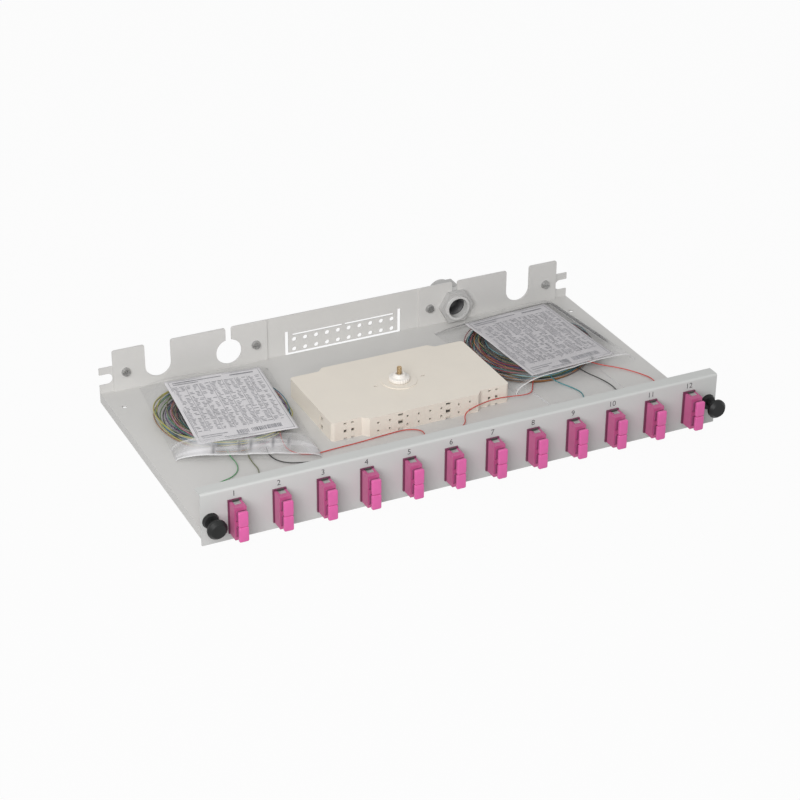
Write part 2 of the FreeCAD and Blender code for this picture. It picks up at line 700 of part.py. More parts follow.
for level, name in ((0, "lower"), (1, "upper")):
    base = f"(floor_top + {level} * cassette_tray)"
    top = f"({base} + cassette_tray)"
    middle = f"({base} + cassette_tray / 2)"
    well = (f"({base} + cassette_base)", f"({top} + 1)")
    nose_loss = "2 * cassette_wall * tan(22.5)"
    well_widths = (f"cassette_nose_width - {nose_loss}", f"{nose_root_width} - {nose_loss}")
    shell = cut(name + "_tray_shell", cassette_outline(name + "_tray", (base, top)), [
        block("tray_well", around("0", "cassette_length - 2 * cassette_wall"),
              around("cassette_y", "cassette_width - 2 * cassette_wall"), well),
        wedge("nose_well", *well_widths,
              (f"({nose_face} + cassette_wall)", f"({cassette_y[0]} + cassette_wall)"), well),
        wedge("tail_well", *well_widths[::-1],
              (f"({cassette_y[1]} - cassette_wall)", f"({nose_back} - cassette_wall)"), well),
    ])
    inside = [shell, rod("tray_boss", "cassette_boss", "Z", "0", "cassette_y", base, "cassette_tray")]
    for rib in range(SPLICE_RIBS):
        rib_y = f"(cassette_y - splice_offset + {rib - (SPLICE_RIBS - 1) / 2} * splice_rib_pitch)"
        inside.append(block("comb_rib", around("0", "splice_rib_length"), around(rib_y, "splice_rib"),
                            (f"({base} + cassette_base)", f"({base} + cassette_base + splice_rib_height)")))
    holes = [rod("tray_stud_hole", "stud + 2 * stud_gap", "Z", "0", "cassette_y", f"{base} - 1",
                 "cassette_tray + 2")]
    for side in (-1, 1):
        for x in SMALL_HOLES_X:
            holes.append(wall_notch(side * x, nose_face, "small_hole", "small_hole", middle))
        for rim in (base, top):
            holes.append(wall_notch(side * CLIP_NOTCH_X, nose_face, "clip_notch_width",
                                    "2 * clip_notch_height", rim))
            for x in TIE_NOTCHES_X:
                holes.append(wall_notch(side * x, cassette_y[0], "tie_notch_width",
                                        "2 * tie_notch_height", rim))
        holes.append(block("side_slot", mirrored(("(cassette_length / 2 - cassette_wall - 0.1)",
                                                  "(cassette_length / 2 + 1)"), side),
                           around(f"{cassette_y[0]} + side_slot_setback", "side_slot_width"),
                           around(middle, "side_slot_height")))
    node(name + "_splice_tray", cut(name + "_splice_tray", joined(name + "_tray_inside", inside), holes))
cover_z = ("(floor_top + 2 * cassette_tray)", STACK_TOP)
lid = joined("cover_solid", [
    cassette_outline("cover", cover_z),
    rod("cover_disc_step", "cover_disc", "Z", "0", "cassette_y", STACK_TOP, "cover_disc_height"),
])
lid_cuts = [rod("cover_stud_hole", "stud + 2 * stud_gap", "Z", "0", "cassette_y", f"{cover_z[0]} - 1",
                "cassette_cover + cover_disc_height + 2")]
for side in (-1, 1):
    lid_cuts.append(block("cover_mark", around(f"{side} * cover_mark_x", "cover_mark_length"),
                          around("cassette_y", "cover_mark_width"), beyond(cover_z)))
node("splice_cover", cut("splice_cover", lid, lid_cuts))

# Stud with a screwdriver slot, standing on the floor, and the nut that holds the stack
pillar = rod("stud_pillar", "stud", "Z", "0", "cassette_y", "floor_top", "stud_top - floor_top")
pillar_slot = block("stud_slot_cut", around("0", "stud + 1"), around("cassette_y", "stud_slot"),
                    ("(stud_top - stud_slot_depth)", "(stud_top + 1)"))
node("cassette_stud", cut("cassette_stud", pillar, [pillar_slot]))
nut = joined("nut_solid", [
    rod("nut_disc", "nut_diameter", "Z", "0", "cassette_y", NUT_SEAT, "nut_thickness"),
    taper("nut_collar", "nut_hub_root", "nut_hub", "Z", "0", "cassette_y", f"{NUT_SEAT} + nut_thickness",
          "nut_hub_height"),
])
nut_bore = rod("nut_bore", "stud + 2 * thread_gap", "Z", "0", "cassette_y", f"{NUT_SEAT} - 1",
               "nut_thickness + nut_hub_height + 2")
node("thumb_nut", cut("thumb_nut", nut, [nut_bore]))


def set_down(item, turn, x, y, z):
    """Turn a piece made about the origin by some degrees and put it in place."""
    item.Placement.Rotation = FreeCAD.Rotation(FreeCAD.Vector(0, 0, 1), turn)
    return place(item, x, y, z)


def pillow(name, width, length, height, radius):
    """A bar along Y about the origin, standing on zero height, with its four long edges rounded."""
    bar = block(name + "_bar", around("0", width), around("0", length), ("0", height))
    return rounded(name, bar, radius, lambda edge: runs_along(edge, "y"))


def oval(name, radius, straight, z):
    """A slab about the origin with two straight sides along Y and half-round ends."""
    pieces = [block(name + "_middle", around("0", f"2 * {radius}"), around("0", straight), z)]
    for end in (-1, 1):
        pieces.append(rod(name + "_end", f"2 * {radius}", "Z", "0", f"{end} * {straight} / 2", z[0],
                          f"{z[1]} - ({z[0]})"))
    return joined(name, pieces)


# Bags: a flat clear pouch open at the front, with an oval coil inside and a paper lying on the coil
coil_under = "(floor_top + film)"
coil_top = f"({coil_under} + coil_height)"
for side, name in ((-1, "left"), (1, "right")):
    width = f"({SIDE_FACE} - {name}_bag_side_gap - {CASSETTE_SIDE} - {name}_bag_inner_gap)"
    middle = f"({side} * ({CASSETTE_SIDE} + {name}_bag_inner_gap + {width} / 2))"
    length = f"{name}_bag_length"
    outside = pillow(name + "_pouch", width, length, "bag_height", sheet.get("bag_round"))
    hollow = pillow(name + "_hollow", f"{width} - 2 * film", length, "bag_height - 2 * film",
                    sheet.get("bag_round") - sheet.get("film"))
    place(hollow, "0", "-film", "film")
    pouch = cut(name + "_bag", outside, [hollow])
    pouch_y = f"{PLATE_FACE} - {name}_bag_gap - {length} / 2"
    node(name + "_bag", set_down(pouch, sheet.get(f"{name}_bag_turn"), middle, pouch_y, "floor_top"))

    radius = f"({width} / 2 - {name}_coil_margin)"
    straight = f"{name}_coil_straight"
    ring = cut(name + "_coil_ring", oval(name + "_coil_slab", radius, straight, ("0", "coil_height")),
               [oval(name + "_coil_eye", f"({radius} - coil_width)", straight, ("-1", "(coil_height + 1)"))])
    coil = rounded(name + "_pigtail_coil", ring, sheet.get("coil_round"),
                   lambda edge: edge.BoundBox.ZLength < 0.01)
    coil_y = f"{PLATE_FACE} - {name}_coil_gap - {radius} - {straight} / 2"
    node(name + "_pigtail_coil", place(coil, f"{middle} + {name}_coil_aside", coil_y, coil_under))

    paper = block(name + "_paper", around("0", "paper_width"), around("0", "paper_length"), ("0", "paper"))
    label = group(name + "_label", [paper])
    label_x = f"{middle} + {width} / 2 - {name}_paper_side_gap - paper_width / 2"
    label_y = f"{PLATE_FACE} - {name}_paper_gap - paper_length / 2"
    node(name + "_label", set_down(label, sheet.get(f"{name}_paper_turn"), label_x, label_y, coil_top))


def fibre_path(points):
    """Straight runs joined by tangent arcs, each as large as its two runs allow, and the arcs' radii."""
    edges = []
    radii = []
    last = points[0]
    for before, corner, after in zip(points, points[1:], points[2:]):
        ahead = (corner - before).normalize()
        onward = (after - corner).normalize()
        half_turn = ahead.getAngle(onward) / 2
        back_off = 0.45 * min((corner - before).Length, (after - corner).Length)
        radius = back_off / math.tan(half_turn)
        start = corner - ahead * back_off
        end = corner + onward * back_off
        middle = corner + (onward - ahead).normalize() * (radius / math.cos(half_turn) - radius)
        edges.append(Part.LineSegment(last, start).toShape())
        edges.append(Part.Arc(start, middle, end).toShape())
        radii.append(round(radius, 1))
        last = end
    edges.append(Part.LineSegment(last, points[-1]).toShape())
    return Part.Wire(edges), radii


# Loose fibres: a round tube along each route, ending at the tip of its plug's boot
fibre_radius = sheet.get("fibre") / 2
boot_end_y = sheet.get("panel_thickness") / 2 + sheet.get("adapter_rear")
boot_end_y += sheet.get("connector_tail") + sheet.get("boot_length")
boot_end_z = sheet.get("adapter_z") - sheet.get("port_pitch") / 2
coupler_span = sheet.get("panel_width") - 2 * sheet.get("adapter_inset")
for number, route in FIBRE_ROUTES.items():
    points = [FreeCAD.Vector(*point) for point in route]
    boot_end_x = ((number - 1) / (ADAPTER_COUNT - 1) - 0.5) * coupler_span
    points.append(FreeCAD.Vector(boot_end_x, boot_end_y, boot_end_z))
    path, radii = fibre_path(points)
    section = Part.Wire(Part.makeCircle(fibre_radius, points[0], points[1] - points[0]))
    tube = path.makePipeShell([section], True, False)
    share = tube.Volume / (math.pi * fibre_radius ** 2 * path.Length)
    print(f"pigtail {number}: length {path.Length:.1f}, volume share {share:.4f}, radii {radii}")
    item = doc.addObject("Part::Feature", f"pigtail_{number:02d}")
    item.Shape = tube
    node(f"pigtail_{number:02d}", item)

# Check every object, then write each piece
doc.recompute()
for item in doc.Objects:
    if "Invalid" in item.State or "Error" in item.State:
        raise RuntimeError(f"{item.Label} failed: {item.State}")
for name, item in nodes.items():
    if item.Shape.isNull() or not item.Shape.isValid() or not item.Shape.Solids:
        raise RuntimeError(f"{name} has no valid solid")
os.makedirs("parts", exist_ok=True)
for name, item in nodes.items():
    item.Shape.exportStep(f"parts/{name}.step")
print(len(nodes), "pieces written")
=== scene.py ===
"""Drawer of a rack-mounted fibre patch panel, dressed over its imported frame.

Metres throughout: +X runs along the front plate, +Y to the back, +Z up.
"""
import math

import bmesh
import bpy
import numpy as np
from mathutils import Matrix, Vector


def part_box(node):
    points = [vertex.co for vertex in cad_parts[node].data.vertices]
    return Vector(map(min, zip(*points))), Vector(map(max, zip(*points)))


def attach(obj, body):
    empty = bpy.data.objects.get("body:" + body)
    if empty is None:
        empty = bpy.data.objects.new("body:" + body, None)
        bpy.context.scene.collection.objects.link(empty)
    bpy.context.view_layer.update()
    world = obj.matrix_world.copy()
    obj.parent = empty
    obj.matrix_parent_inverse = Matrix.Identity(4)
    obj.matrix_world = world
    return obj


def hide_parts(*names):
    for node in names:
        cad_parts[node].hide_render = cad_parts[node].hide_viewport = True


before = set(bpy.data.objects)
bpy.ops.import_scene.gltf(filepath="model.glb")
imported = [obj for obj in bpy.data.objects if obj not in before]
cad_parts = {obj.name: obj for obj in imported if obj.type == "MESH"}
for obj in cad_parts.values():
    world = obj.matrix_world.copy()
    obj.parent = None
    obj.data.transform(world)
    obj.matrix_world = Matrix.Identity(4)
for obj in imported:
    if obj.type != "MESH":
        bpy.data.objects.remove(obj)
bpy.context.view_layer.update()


# Camera: a long lens in front of the drawer's left end, looking down on it from well above the front plate.
# Its place and turn were found from the corners of the plate, the rear wall and the tray's floor.
SENSOR_WIDTH = 36.0
LENS = 95.76
CAMERA_PLACE = (
    (0.90134, 0.20300, -0.38259, -0.66111),
    (-0.43305, 0.43775, -0.78794, -1.23675),
    (0.00753, 0.87588, 0.48247, 0.84159),
    (0, 0, 0, 1),
)
scene = bpy.context.scene
scene.view_settings.view_transform = "Standard"
camera_data = bpy.data.cameras.new("camera")
camera_data.sensor_width = SENSOR_WIDTH
camera_data.lens = LENS
camera = bpy.data.objects.new("camera", camera_data)
camera.matrix_world = Matrix(CAMERA_PLACE)
scene.collection.objects.link(camera)
scene.camera = camera


# Studio: a white surround that the camera and reflections see at full strength and the object as half-light,
# one soft lamp above the front and to the left, and a pale floor that keeps a faint shadow.
SURROUND_LIGHT = 0.49
LAMP_SIZE = 1.0
LAMP_POWER = 22.5
LAMP_PLACE = (-0.95, -1.10, 0.85)
FLOOR_SIZE = 12.0
FLOOR_Z = -0.0001
FLOOR_GREY = 0.40
FLOOR_GLOW = 0.96


def join(tree, output, socket):
    """Link an output to an input in a node tree."""
    tree.links.new(output, socket)


def seen_rays(tree):
    """One for a camera, glossy or transmission ray and zero for a diffuse one."""
    path = tree.nodes.new("ShaderNodeLightPath")
    total = path.outputs["Is Camera Ray"]
    for kind in ("Is Glossy Ray", "Is Transmission Ray"):
        both = tree.nodes.new("ShaderNodeMath")
        both.operation = "MAXIMUM"
        join(tree, total, both.inputs[0])
        join(tree, path.outputs[kind], both.inputs[1])
        total = both.outputs[0]
    return total


surround = bpy.data.worlds.new("surround")
scene.world = surround
surround.use_nodes = True
strength = surround.node_tree.nodes.new("ShaderNodeMapRange")
strength.inputs["To Min"].default_value = SURROUND_LIGHT
strength.inputs["To Max"].default_value = 1.0
join(surround.node_tree, seen_rays(surround.node_tree), strength.inputs["Value"])
backdrop = surround.node_tree.nodes["Background"]
backdrop.inputs["Color"].default_value = (1, 1, 1, 1)
join(surround.node_tree, strength.outputs["Result"], backdrop.inputs["Strength"])

lamp_data = bpy.data.lights.new("soft_lamp", "AREA")
lamp_data.size = LAMP_SIZE
lamp_data.energy = LAMP_POWER
lamp = bpy.data.objects.new("soft_lamp", lamp_data)
from_object = Vector(LAMP_PLACE)
lamp.matrix_world = Matrix.Translation(from_object) @ from_object.to_track_quat("Z", "Y").to_matrix().to_4x4()
scene.collection.objects.link(lamp)

floor_mesh = bpy.data.meshes.new("floor")
floor_corners = [(x * FLOOR_SIZE / 2, y * FLOOR_SIZE / 2, FLOOR_Z)
                 for x, y in ((-1, -1), (1, -1), (1, 1), (-1, 1))]
floor_mesh.from_pydata(floor_corners, [], [(0, 1, 2, 3)])
floor = bpy.data.objects.new("floor", floor_mesh)
scene.collection.objects.link(floor)
floor_white = bpy.data.materials.new("floor_white")
floor_white.use_nodes = True
tree = floor_white.node_tree
tree.nodes.remove(tree.nodes["Principled BSDF"])
matt = tree.nodes.new("ShaderNodeBsdfDiffuse")
matt.inputs["Color"].default_value = (FLOOR_GREY, FLOOR_GREY, FLOOR_GREY, 1)
glow = tree.nodes.new("ShaderNodeEmission")
glow_share = tree.nodes.new("ShaderNodeMapRange")
glow_share.inputs["To Max"].default_value = FLOOR_GLOW
join(tree, seen_rays(tree), glow_share.inputs["Value"])
blend = tree.nodes.new("ShaderNodeMixShader")
join(tree, glow_share.outputs["Result"], blend.inputs["Fac"])
join(tree, matt.outputs["BSDF"], blend.inputs[1])
join(tree, glow.outputs["Emission"], blend.inputs[2])
join(tree, blend.outputs["Shader"], tree.nodes["Material Output"].inputs["Surface"])
floor_mesh.materials.append(floor_white)


# Sheet metal: tray, front plate and the two gland plates, folded from mild steel and powder coated light
# grey. The coat has a fine orange peel, and the grey drifts a little over a hand's breadth. The front
# plate takes a copy of the coat painted a little darker and greener: painted shade, and a tint against the
# pink light thrown on it by the caps.
POWDER_GREY = (0.630, 0.622, 0.606)
SHADED_PLATE_GREY = (0.572, 0.582, 0.570)
COAT = (0.5, 0.09, 0.02, 0.0008, 0.00002)
NOISE_SPAN = (0.3, 0.7)
GLOSS_DRIFT = 0.05


def finished(name, colour, roughness, blotch, shift, grain, depth, metallic=0.0, sheen=0.5):
    """A finish on object coordinates: broad noise of the blotch size shifts the colour by the shift share to
    either side and the roughness with it, and fine noise of the grain size lifts the surface by the depth."""
    material = bpy.data.materials.new(name)
    material.use_nodes = True
    tree = material.node_tree
    shader = tree.nodes["Principled BSDF"]
    shader.inputs["Metallic"].default_value = metallic
    shader.inputs["Specular IOR Level"].default_value = sheen
    spot = tree.nodes.new("ShaderNodeTexCoord").outputs["Object"]

    broad = tree.nodes.new("ShaderNodeTexNoise")
    broad.inputs["Scale"].default_value = 1 / blotch
    broad.inputs["Detail"].default_value = 4
    join(tree, spot, broad.inputs["Vector"])
    tint = tree.nodes.new("ShaderNodeValToRGB")
    for stop, place, way in zip(tint.color_ramp.elements, NOISE_SPAN, (-1, 1)):
        stop.position = place
        stop.color = (*np.clip(np.array(colour) * (1 + way * shift), 0, 1), 1)
    join(tree, broad.outputs["Fac"], tint.inputs["Fac"])
    join(tree, tint.outputs["Color"], shader.inputs["Base Color"])

    gloss = tree.nodes.new("ShaderNodeMapRange")
    gloss.inputs["From Min"].default_value = NOISE_SPAN[0]
    gloss.inputs["From Max"].default_value = NOISE_SPAN[1]
    gloss.inputs["To Min"].default_value = roughness - GLOSS_DRIFT
    gloss.inputs["To Max"].default_value = roughness + GLOSS_DRIFT
    join(tree, broad.outputs["Fac"], gloss.inputs["Value"])
    join(tree, gloss.outputs["Result"], shader.inputs["Roughness"])

    fine = tree.nodes.new("ShaderNodeTexNoise")
    fine.inputs["Scale"].default_value = 1 / grain
    fine.inputs["Detail"].default_value = 2
    join(tree, spot, fine.inputs["Vector"])
    lift = tree.nodes.new("ShaderNodeBump")
    lift.inputs["Distance"].default_value = depth
    join(tree, fine.outputs["Fac"], lift.inputs["Height"])
    join(tree, lift.outputs["Normal"], shader.inputs["Normal"])
    return material


def dress(names, material):
    """Put a finish on the material slots of CAD nodes."""
    for name in names:
        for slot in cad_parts[name].material_slots:
            slot.material = material


powder_coat = finished("powder_coat", POWDER_GREY, *COAT)
dress(("tray", "left_gland_plate", "right_gland_plate"), powder_coat)
# The front plate's copy is painted darker and greener, as shade and against the pink light off the caps.
shaded_plate_coat = finished("shaded_plate_coat", SHADED_PLATE_GREY, *COAT)
dress(("front_panel",), shaded_plate_coat)


# Coupler numbers: 1 to 12, screen printed in dark grey ink on the front plate above each coupler.
# They are flat figures a few hundredths of a millimetre thick.
COUPLER_COUNT = 12
COUPLER_SPAN = 0.388
NUMBER_SIZE = 0.0064
NUMBER_Z = 0.0384
INK_THICKNESS = 0.00002


def coupler_x(number):
    """The middle of a coupler along the front plate, counted from 1 at the left: its share of the way from the
    first to the last, less a half, times the span."""
    return ((number - 1) / (COUPLER_COUNT - 1) - 0.5) * COUPLER_SPAN


def put_in(name, mesh, material, body):
    """A finished piece at the origin with its material, riding a body and taking a slot's finish."""
    mesh.materials.append(material)
    piece = bpy.data.objects.new(name, mesh)
    scene.collection.objects.link(piece)
    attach(piece, body)
    return piece


plate_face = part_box("front_panel")[0].y
figures = bmesh.new()
for number in range(1, COUPLER_COUNT + 1):
    letters = bpy.data.curves.new("figure", "FONT")
    letters.body = str(number)
    letters.size = NUMBER_SIZE
    letters.align_x = "CENTER"
    letters.align_y = "CENTER"
    letters.extrude = INK_THICKNESS
    flat = bpy.data.objects.new("figure", letters)
    printed = bpy.data.meshes.new_from_object(flat)
    place = Matrix.Translation((coupler_x(number), plate_face, NUMBER_Z))
    printed.transform(place @ Matrix.Rotation(math.pi / 2, 4, "X"))
    figures.from_mesh(printed)
    bpy.data.objects.remove(flat)
    bpy.data.meshes.remove(printed)
figures_mesh = bpy.data.meshes.new("plate_numbers")
figures.to_mesh(figures_mesh)
figures.free()
panel_ink = finished("panel_ink", (0.045, 0.045, 0.05), 0.5, 0.004, 0.15, 0.0004, 0.000004)
put_in("plate_numbers", figures_mesh, panel_ink, "drawer")


# Couplers: duplex bulkhead adapters moulded in magenta plastic, snapped into the plate from the front.
# A spring clip of thin stainless sheet lies over the top and the bottom of each and bears on the plate.
# Painted shade darkens both round the collar, in a band across Y that fades out to either side.
COLLAR_MIDDLE = -0.0012
COLLAR_REACH = (0.0019, 0.0031)
COLLAR_SHADE = 0.34
CLIP_REACH = (0.0030, 0.0048)
CLIP_SHADE = 0.22


def shaded_band(material, middle, reach, shade):
    """Paint shade into a finish in a band across object Y: its colour times a factor that rises from the
    shade to one as the distance from the band's middle passes the reach."""
    tree = material.node_tree
    place = tree.nodes.new("ShaderNodeSeparateXYZ")
    join(tree, tree.nodes["Texture Coordinate"].outputs["Object"], place.inputs["Vector"])
    distance = tree.nodes.new("ShaderNodeMath")
    distance.operation = "SUBTRACT"
    distance.inputs[1].default_value = middle
    join(tree, place.outputs["Y"], distance.inputs[0])
    either_way = tree.nodes.new("ShaderNodeMath")
    either_way.operation = "ABSOLUTE"
    join(tree, distance.outputs["Value"], either_way.inputs[0])
    factor = tree.nodes.new("ShaderNodeMapRange")
    factor.interpolation_type = "SMOOTHSTEP"
    factor.inputs["From Min"].default_value = reach[0]
    factor.inputs["From Max"].default_value = reach[1]
    factor.inputs["To Min"].default_value = shade
    factor.inputs["To Max"].default_value = 1.0
    join(tree, either_way.outputs["Value"], factor.inputs["Value"])
    shaded_colour = tree.nodes.new("ShaderNodeVectorMath")
    shaded_colour.operation = "SCALE"
    join(tree, tree.nodes["Color Ramp"].outputs["Color"], shaded_colour.inputs["Vector"])
    join(tree, factor.outputs["Result"], shaded_colour.inputs["Scale"])
    join(tree, shaded_colour.outputs["Vector"], tree.nodes["Principled BSDF"].inputs["Base Color"])


coupler_plastic = finished("coupler_plastic", (0.52, 0.096, 0.250), 0.34, 0.012, 0.06, 0.0005, 0.000006)
shaded_band(coupler_plastic, COLLAR_MIDDLE, COLLAR_REACH, COLLAR_SHADE)
dress(("adapters",), coupler_plastic)
clip_steel = finished("clip_steel", (0.52, 0.505, 0.50), 0.38, 0.004, 0.08, 0.0003, 0.000004, metallic=0.8)
shaded_band(clip_steel, COLLAR_MIDDLE, CLIP_REACH, CLIP_SHADE)
dress(("adapter_clips",), clip_steel)


# Dust caps: one soft magenta cap in each front port, a plug that fills the port, a neck, and a rounded grip.
# They are pushed in by hand, so each sits a little askew.
CAP_SEED = 31
CAP_TILT = math.radians(0.7)
CAP_REACH = 0.0063
CAP_EDGE = 0.0002
# The neck is darkened with painted shade, in a band across Y round its middle.
NECK_MIDDLE = -0.0148
NECK_REACH = (0.0014, 0.0020)
NECK_SHADE = 0.30
CAP_STATIONS = (
    # y from the coupler's nose, width, height, corner radius
    (0.0079, 0.0062, 0.0078, 0.0008),
    (0.0075, 0.0071, 0.0087, 0.0008),
    (0.0001, 0.0071, 0.0087, 0.0008),
    (-0.0002, 0.0054, 0.0079, 0.0008),
    (-0.0031, 0.0052, 0.0076, 0.0008),
    (-0.00335, 0.0062, 0.0104, 0.0010),
    (-0.0036, 0.0074, 0.0121, 0.0011),
    (-0.0041, 0.0076, 0.0124, 0.0011),
    (-0.0054, 0.0076, 0.0124, 0.0011),
    (-0.0059, 0.0075, 0.0123, 0.0011),
    (-0.00610, 0.0070, 0.0118, 0.0010),
    (-0.00618, 0.0063, 0.0111, 0.0007),
)


def rounded_outline(width, height, radius, steps=6):
    """Points once round a rectangle with rounded corners: each corner's centre plus a quarter circle."""
    quarter = np.linspace(0, math.pi / 2, steps)
    angles = quarter + np.arange(4)[:, None] * math.pi / 2
    corners = np.array(((1, 1), (-1, 1), (-1, -1), (1, -1)))[:, None]
    arcs = radius * np.stack((np.cos(angles), np.sin(angles)), -1)
    return (corners * (width / 2 - radius, height / 2 - radius) + arcs).reshape(-1, 2)


def grid_faces(rows, columns, loop_rows=False, loop_columns=False):
    """The four corner numbers of every cell of a grid of points, closed on itself along either side or both:
    row times columns plus column, with the next row and the next column."""
    row = np.arange(rows if loop_rows else rows - 1)[:, None]
    column = np.arange(columns if loop_columns else columns - 1)
    next_row = (row + 1) % rows
    next_column = (column + 1) % columns
    corners = (row * columns + column, row * columns + next_column,
               next_row * columns + next_column, next_row * columns + column)
    return np.stack(np.broadcast_arrays(*corners), -1).reshape(-1, 4)


def skinned(name, points, faces):
    """A smooth mesh of points and faces with its faces turned outwards."""
    mesh = bpy.data.meshes.new(name)
    mesh.from_pydata(points.reshape(-1, 3).tolist(), [], faces)
    shell = bmesh.new()
    shell.from_mesh(mesh)
    bmesh.ops.recalc_face_normals(shell, faces=shell.faces)
    shell.to_mesh(mesh)
    shell.free()
    mesh.shade_smooth()
    return mesh


def lofted(name, rings):
    """A closed skin over a row of rings of points: cells join each ring to the next, and a flat face shuts
    each end."""
    rows, columns = rings.shape[:2]
    faces = grid_faces(rows, columns, loop_columns=True).tolist()
    faces.append(list(range(columns)))
    faces.append(list(range((rows - 1) * columns, rows * columns)))
    return skinned(name, rings, faces)


cap_plastic = finished("cap_plastic", (0.70, 0.118, 0.36), 0.36, 0.006, 0.05, 0.0005, 0.000006)
shaded_band(cap_plastic, NECK_MIDDLE, NECK_REACH, NECK_SHADE)
hand = np.random.default_rng(CAP_SEED)
outlines = np.stack([rounded_outline(*station[1:]) for station in CAP_STATIONS])
depths = np.array([station[0] for station in CAP_STATIONS])[:, None]
depths = np.broadcast_to(depths, outlines.shape[:2])
cap_rings = np.stack((outlines[..., 0], depths, outlines[..., 1]), -1)
for level in ("upper", "lower"):
    for number in range(1, COUPLER_COUNT + 1):
        node = f"{level}_cap_{number:02d}"
        low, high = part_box(node)
        nose = (low.x + high.x) / 2, low.y + CAP_REACH, (low.z + high.z) / 2
        mesh = lofted(f"{node}_moulding", cap_rings)
        lean, swing = hand.uniform(-CAP_TILT, CAP_TILT, 2)
        askew = Matrix.Rotation(lean, 4, "X") @ Matrix.Rotation(swing, 4, "Z")
        mesh.transform(Matrix.Translation(nose) @ askew)
        cap = put_in(f"{node}_moulding", mesh, cap_plastic, node)
        edges = cap.modifiers.new("edges", "BEVEL")
        edges.width = CAP_EDGE
        edges.segments = 2
        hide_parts(node)
dress(("rear_dust_caps",), cap_plastic)


# Latches: a push-pull plunger of black nylon in a black nylon grommet at each end of the front plate.
# The grommet snaps into a hole of the plate. Pressing the plunger home spreads it, and pulling frees it.
latch_nylon = finished("latch_nylon", (0.016, 0.017, 0.017), 0.42, 0.01, 0.15, 0.0006, 0.00001, sheen=0.22)
for side in ("left", "right"):
    dress((f"{side}_latch_grommet", f"{side}_latch_plunger"), latch_nylon)


# Plate screws: zinc-plated steel screws with pan heads, two to a gland plate.
# They are driven from inside the drawer and hold the plates flat against the rear wall.
screw_steel = finished("screw_steel", (0.46, 0.46, 0.455), 0.30, 0.002, 0.1, 0.0003, 0.000005, metallic=0.9)
dress(("plate_screws",), screw_steel)


# Cable gland: body, locknut and domed cap turned and moulded in grey nylon, clamping a rubber seal.
# A black rubber sleeve lines its bore.
SLEEVE_OUTER = 0.0089
SLEEVE_INNER = 0.0078
SLEEVE_SPAN = (0.2335, 0.2566)
gland_nylon = finished("gland_nylon", (0.485, 0.48, 0.47), 0.45, 0.015, 0.05, 0.0006, 0.00001)
dress(("gland_locknut", "gland_cap"), gland_nylon)
pale_nylon = finished("pale_nylon", (0.63, 0.625, 0.615), 0.42, 0.015, 0.04, 0.0006, 0.00001)
dress(("gland_body",), pale_nylon)
seal_rubber = finished("seal_rubber", (0.012, 0.012, 0.012), 0.6, 0.004, 0.2, 0.0005, 0.00001)
dress(("gland_seal",), seal_rubber)
sleeve_rubber = finished("sleeve_rubber", (0.055, 0.055, 0.057), 0.5, 0.004, 0.2, 0.0005, 0.00001)


def turned(name, profile, axis_point, steps=64):
    """A closed ring turned about an axis along Y: each profile point is a radius and a depth, carried once
    round."""
    angle = np.linspace(0, 2 * math.pi, steps, endpoint=False)
    radius = profile[:, 0, None]
    depth = np.broadcast_to(profile[:, 1, None], (len(profile), steps))
    rings = np.stack((radius * np.cos(angle), depth, radius * np.sin(angle)), -1)
    faces = grid_faces(len(profile), steps, loop_rows=True, loop_columns=True)
    return skinned(name, rings + np.array(axis_point), faces.tolist())


low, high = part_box("gland_body")
gland_x = (low.x + high.x) / 2
gland_z = (low.z + high.z) / 2
sleeve_profile = np.array([(SLEEVE_OUTER, SLEEVE_SPAN[0]), (SLEEVE_OUTER, SLEEVE_SPAN[1]),
                           (SLEEVE_INNER, SLEEVE_SPAN[1]), (SLEEVE_INNER, SLEEVE_SPAN[0])])
sleeve_mesh = turned("gland_sleeve", sleeve_profile, (gland_x, 0, gland_z))
put_in("gland_sleeve", sleeve_mesh, sleeve_rubber, "drawer")


# Splice cassette: two stacked trays and a cover, injection moulded in ivory plastic with a fine spark
# texture. They share one outline, stand on the floor round the stud, and have slots and holes in the walls.
cassette_ivory = finished("cassette_ivory", (0.800, 0.742, 0.655), 0.42, 0.03, 0.02, 0.0006, 0.000012)
dress(("lower_splice_tray", "upper_splice_tray", "splice_cover"), cassette_ivory)


# Stud: a threaded brass rod that stands in the tray's floor and passes through the cassette.
# Its thread is rolled at an 0.8 mm pitch and shows above the thumb nut.
THREAD_PITCH = 0.0008
THREAD_DEPTH = 0.00025
WAVE_RADIANS = 20
stud_brass = finished("stud_brass", (0.50, 0.36, 0.20), 0.34, 0.003, 0.12, 0.0003, 0.000004, metallic=0.8)
tree = stud_brass.node_tree
thread = tree.nodes.new("ShaderNodeTexWave")
thread.bands_direction = "Z"
# At scale 1 the wave texture runs through this many radians in a metre.
thread.inputs["Scale"].default_value = 2 * math.pi / WAVE_RADIANS / THREAD_PITCH
join(tree, tree.nodes["Texture Coordinate"].outputs["Object"], thread.inputs["Vector"])
ridge = tree.nodes.new("ShaderNodeBump")
ridge.inputs["Distance"].default_value = THREAD_DEPTH
join(tree, thread.outputs["Fac"], ridge.inputs["Height"])
join(tree, tree.nodes["Bump"].outputs["Normal"], ridge.inputs["Normal"])
join(tree, ridge.outputs["Normal"], tree.nodes["Principled BSDF"].inputs["Normal"])
dress(("cassette_stud",), stud_brass)


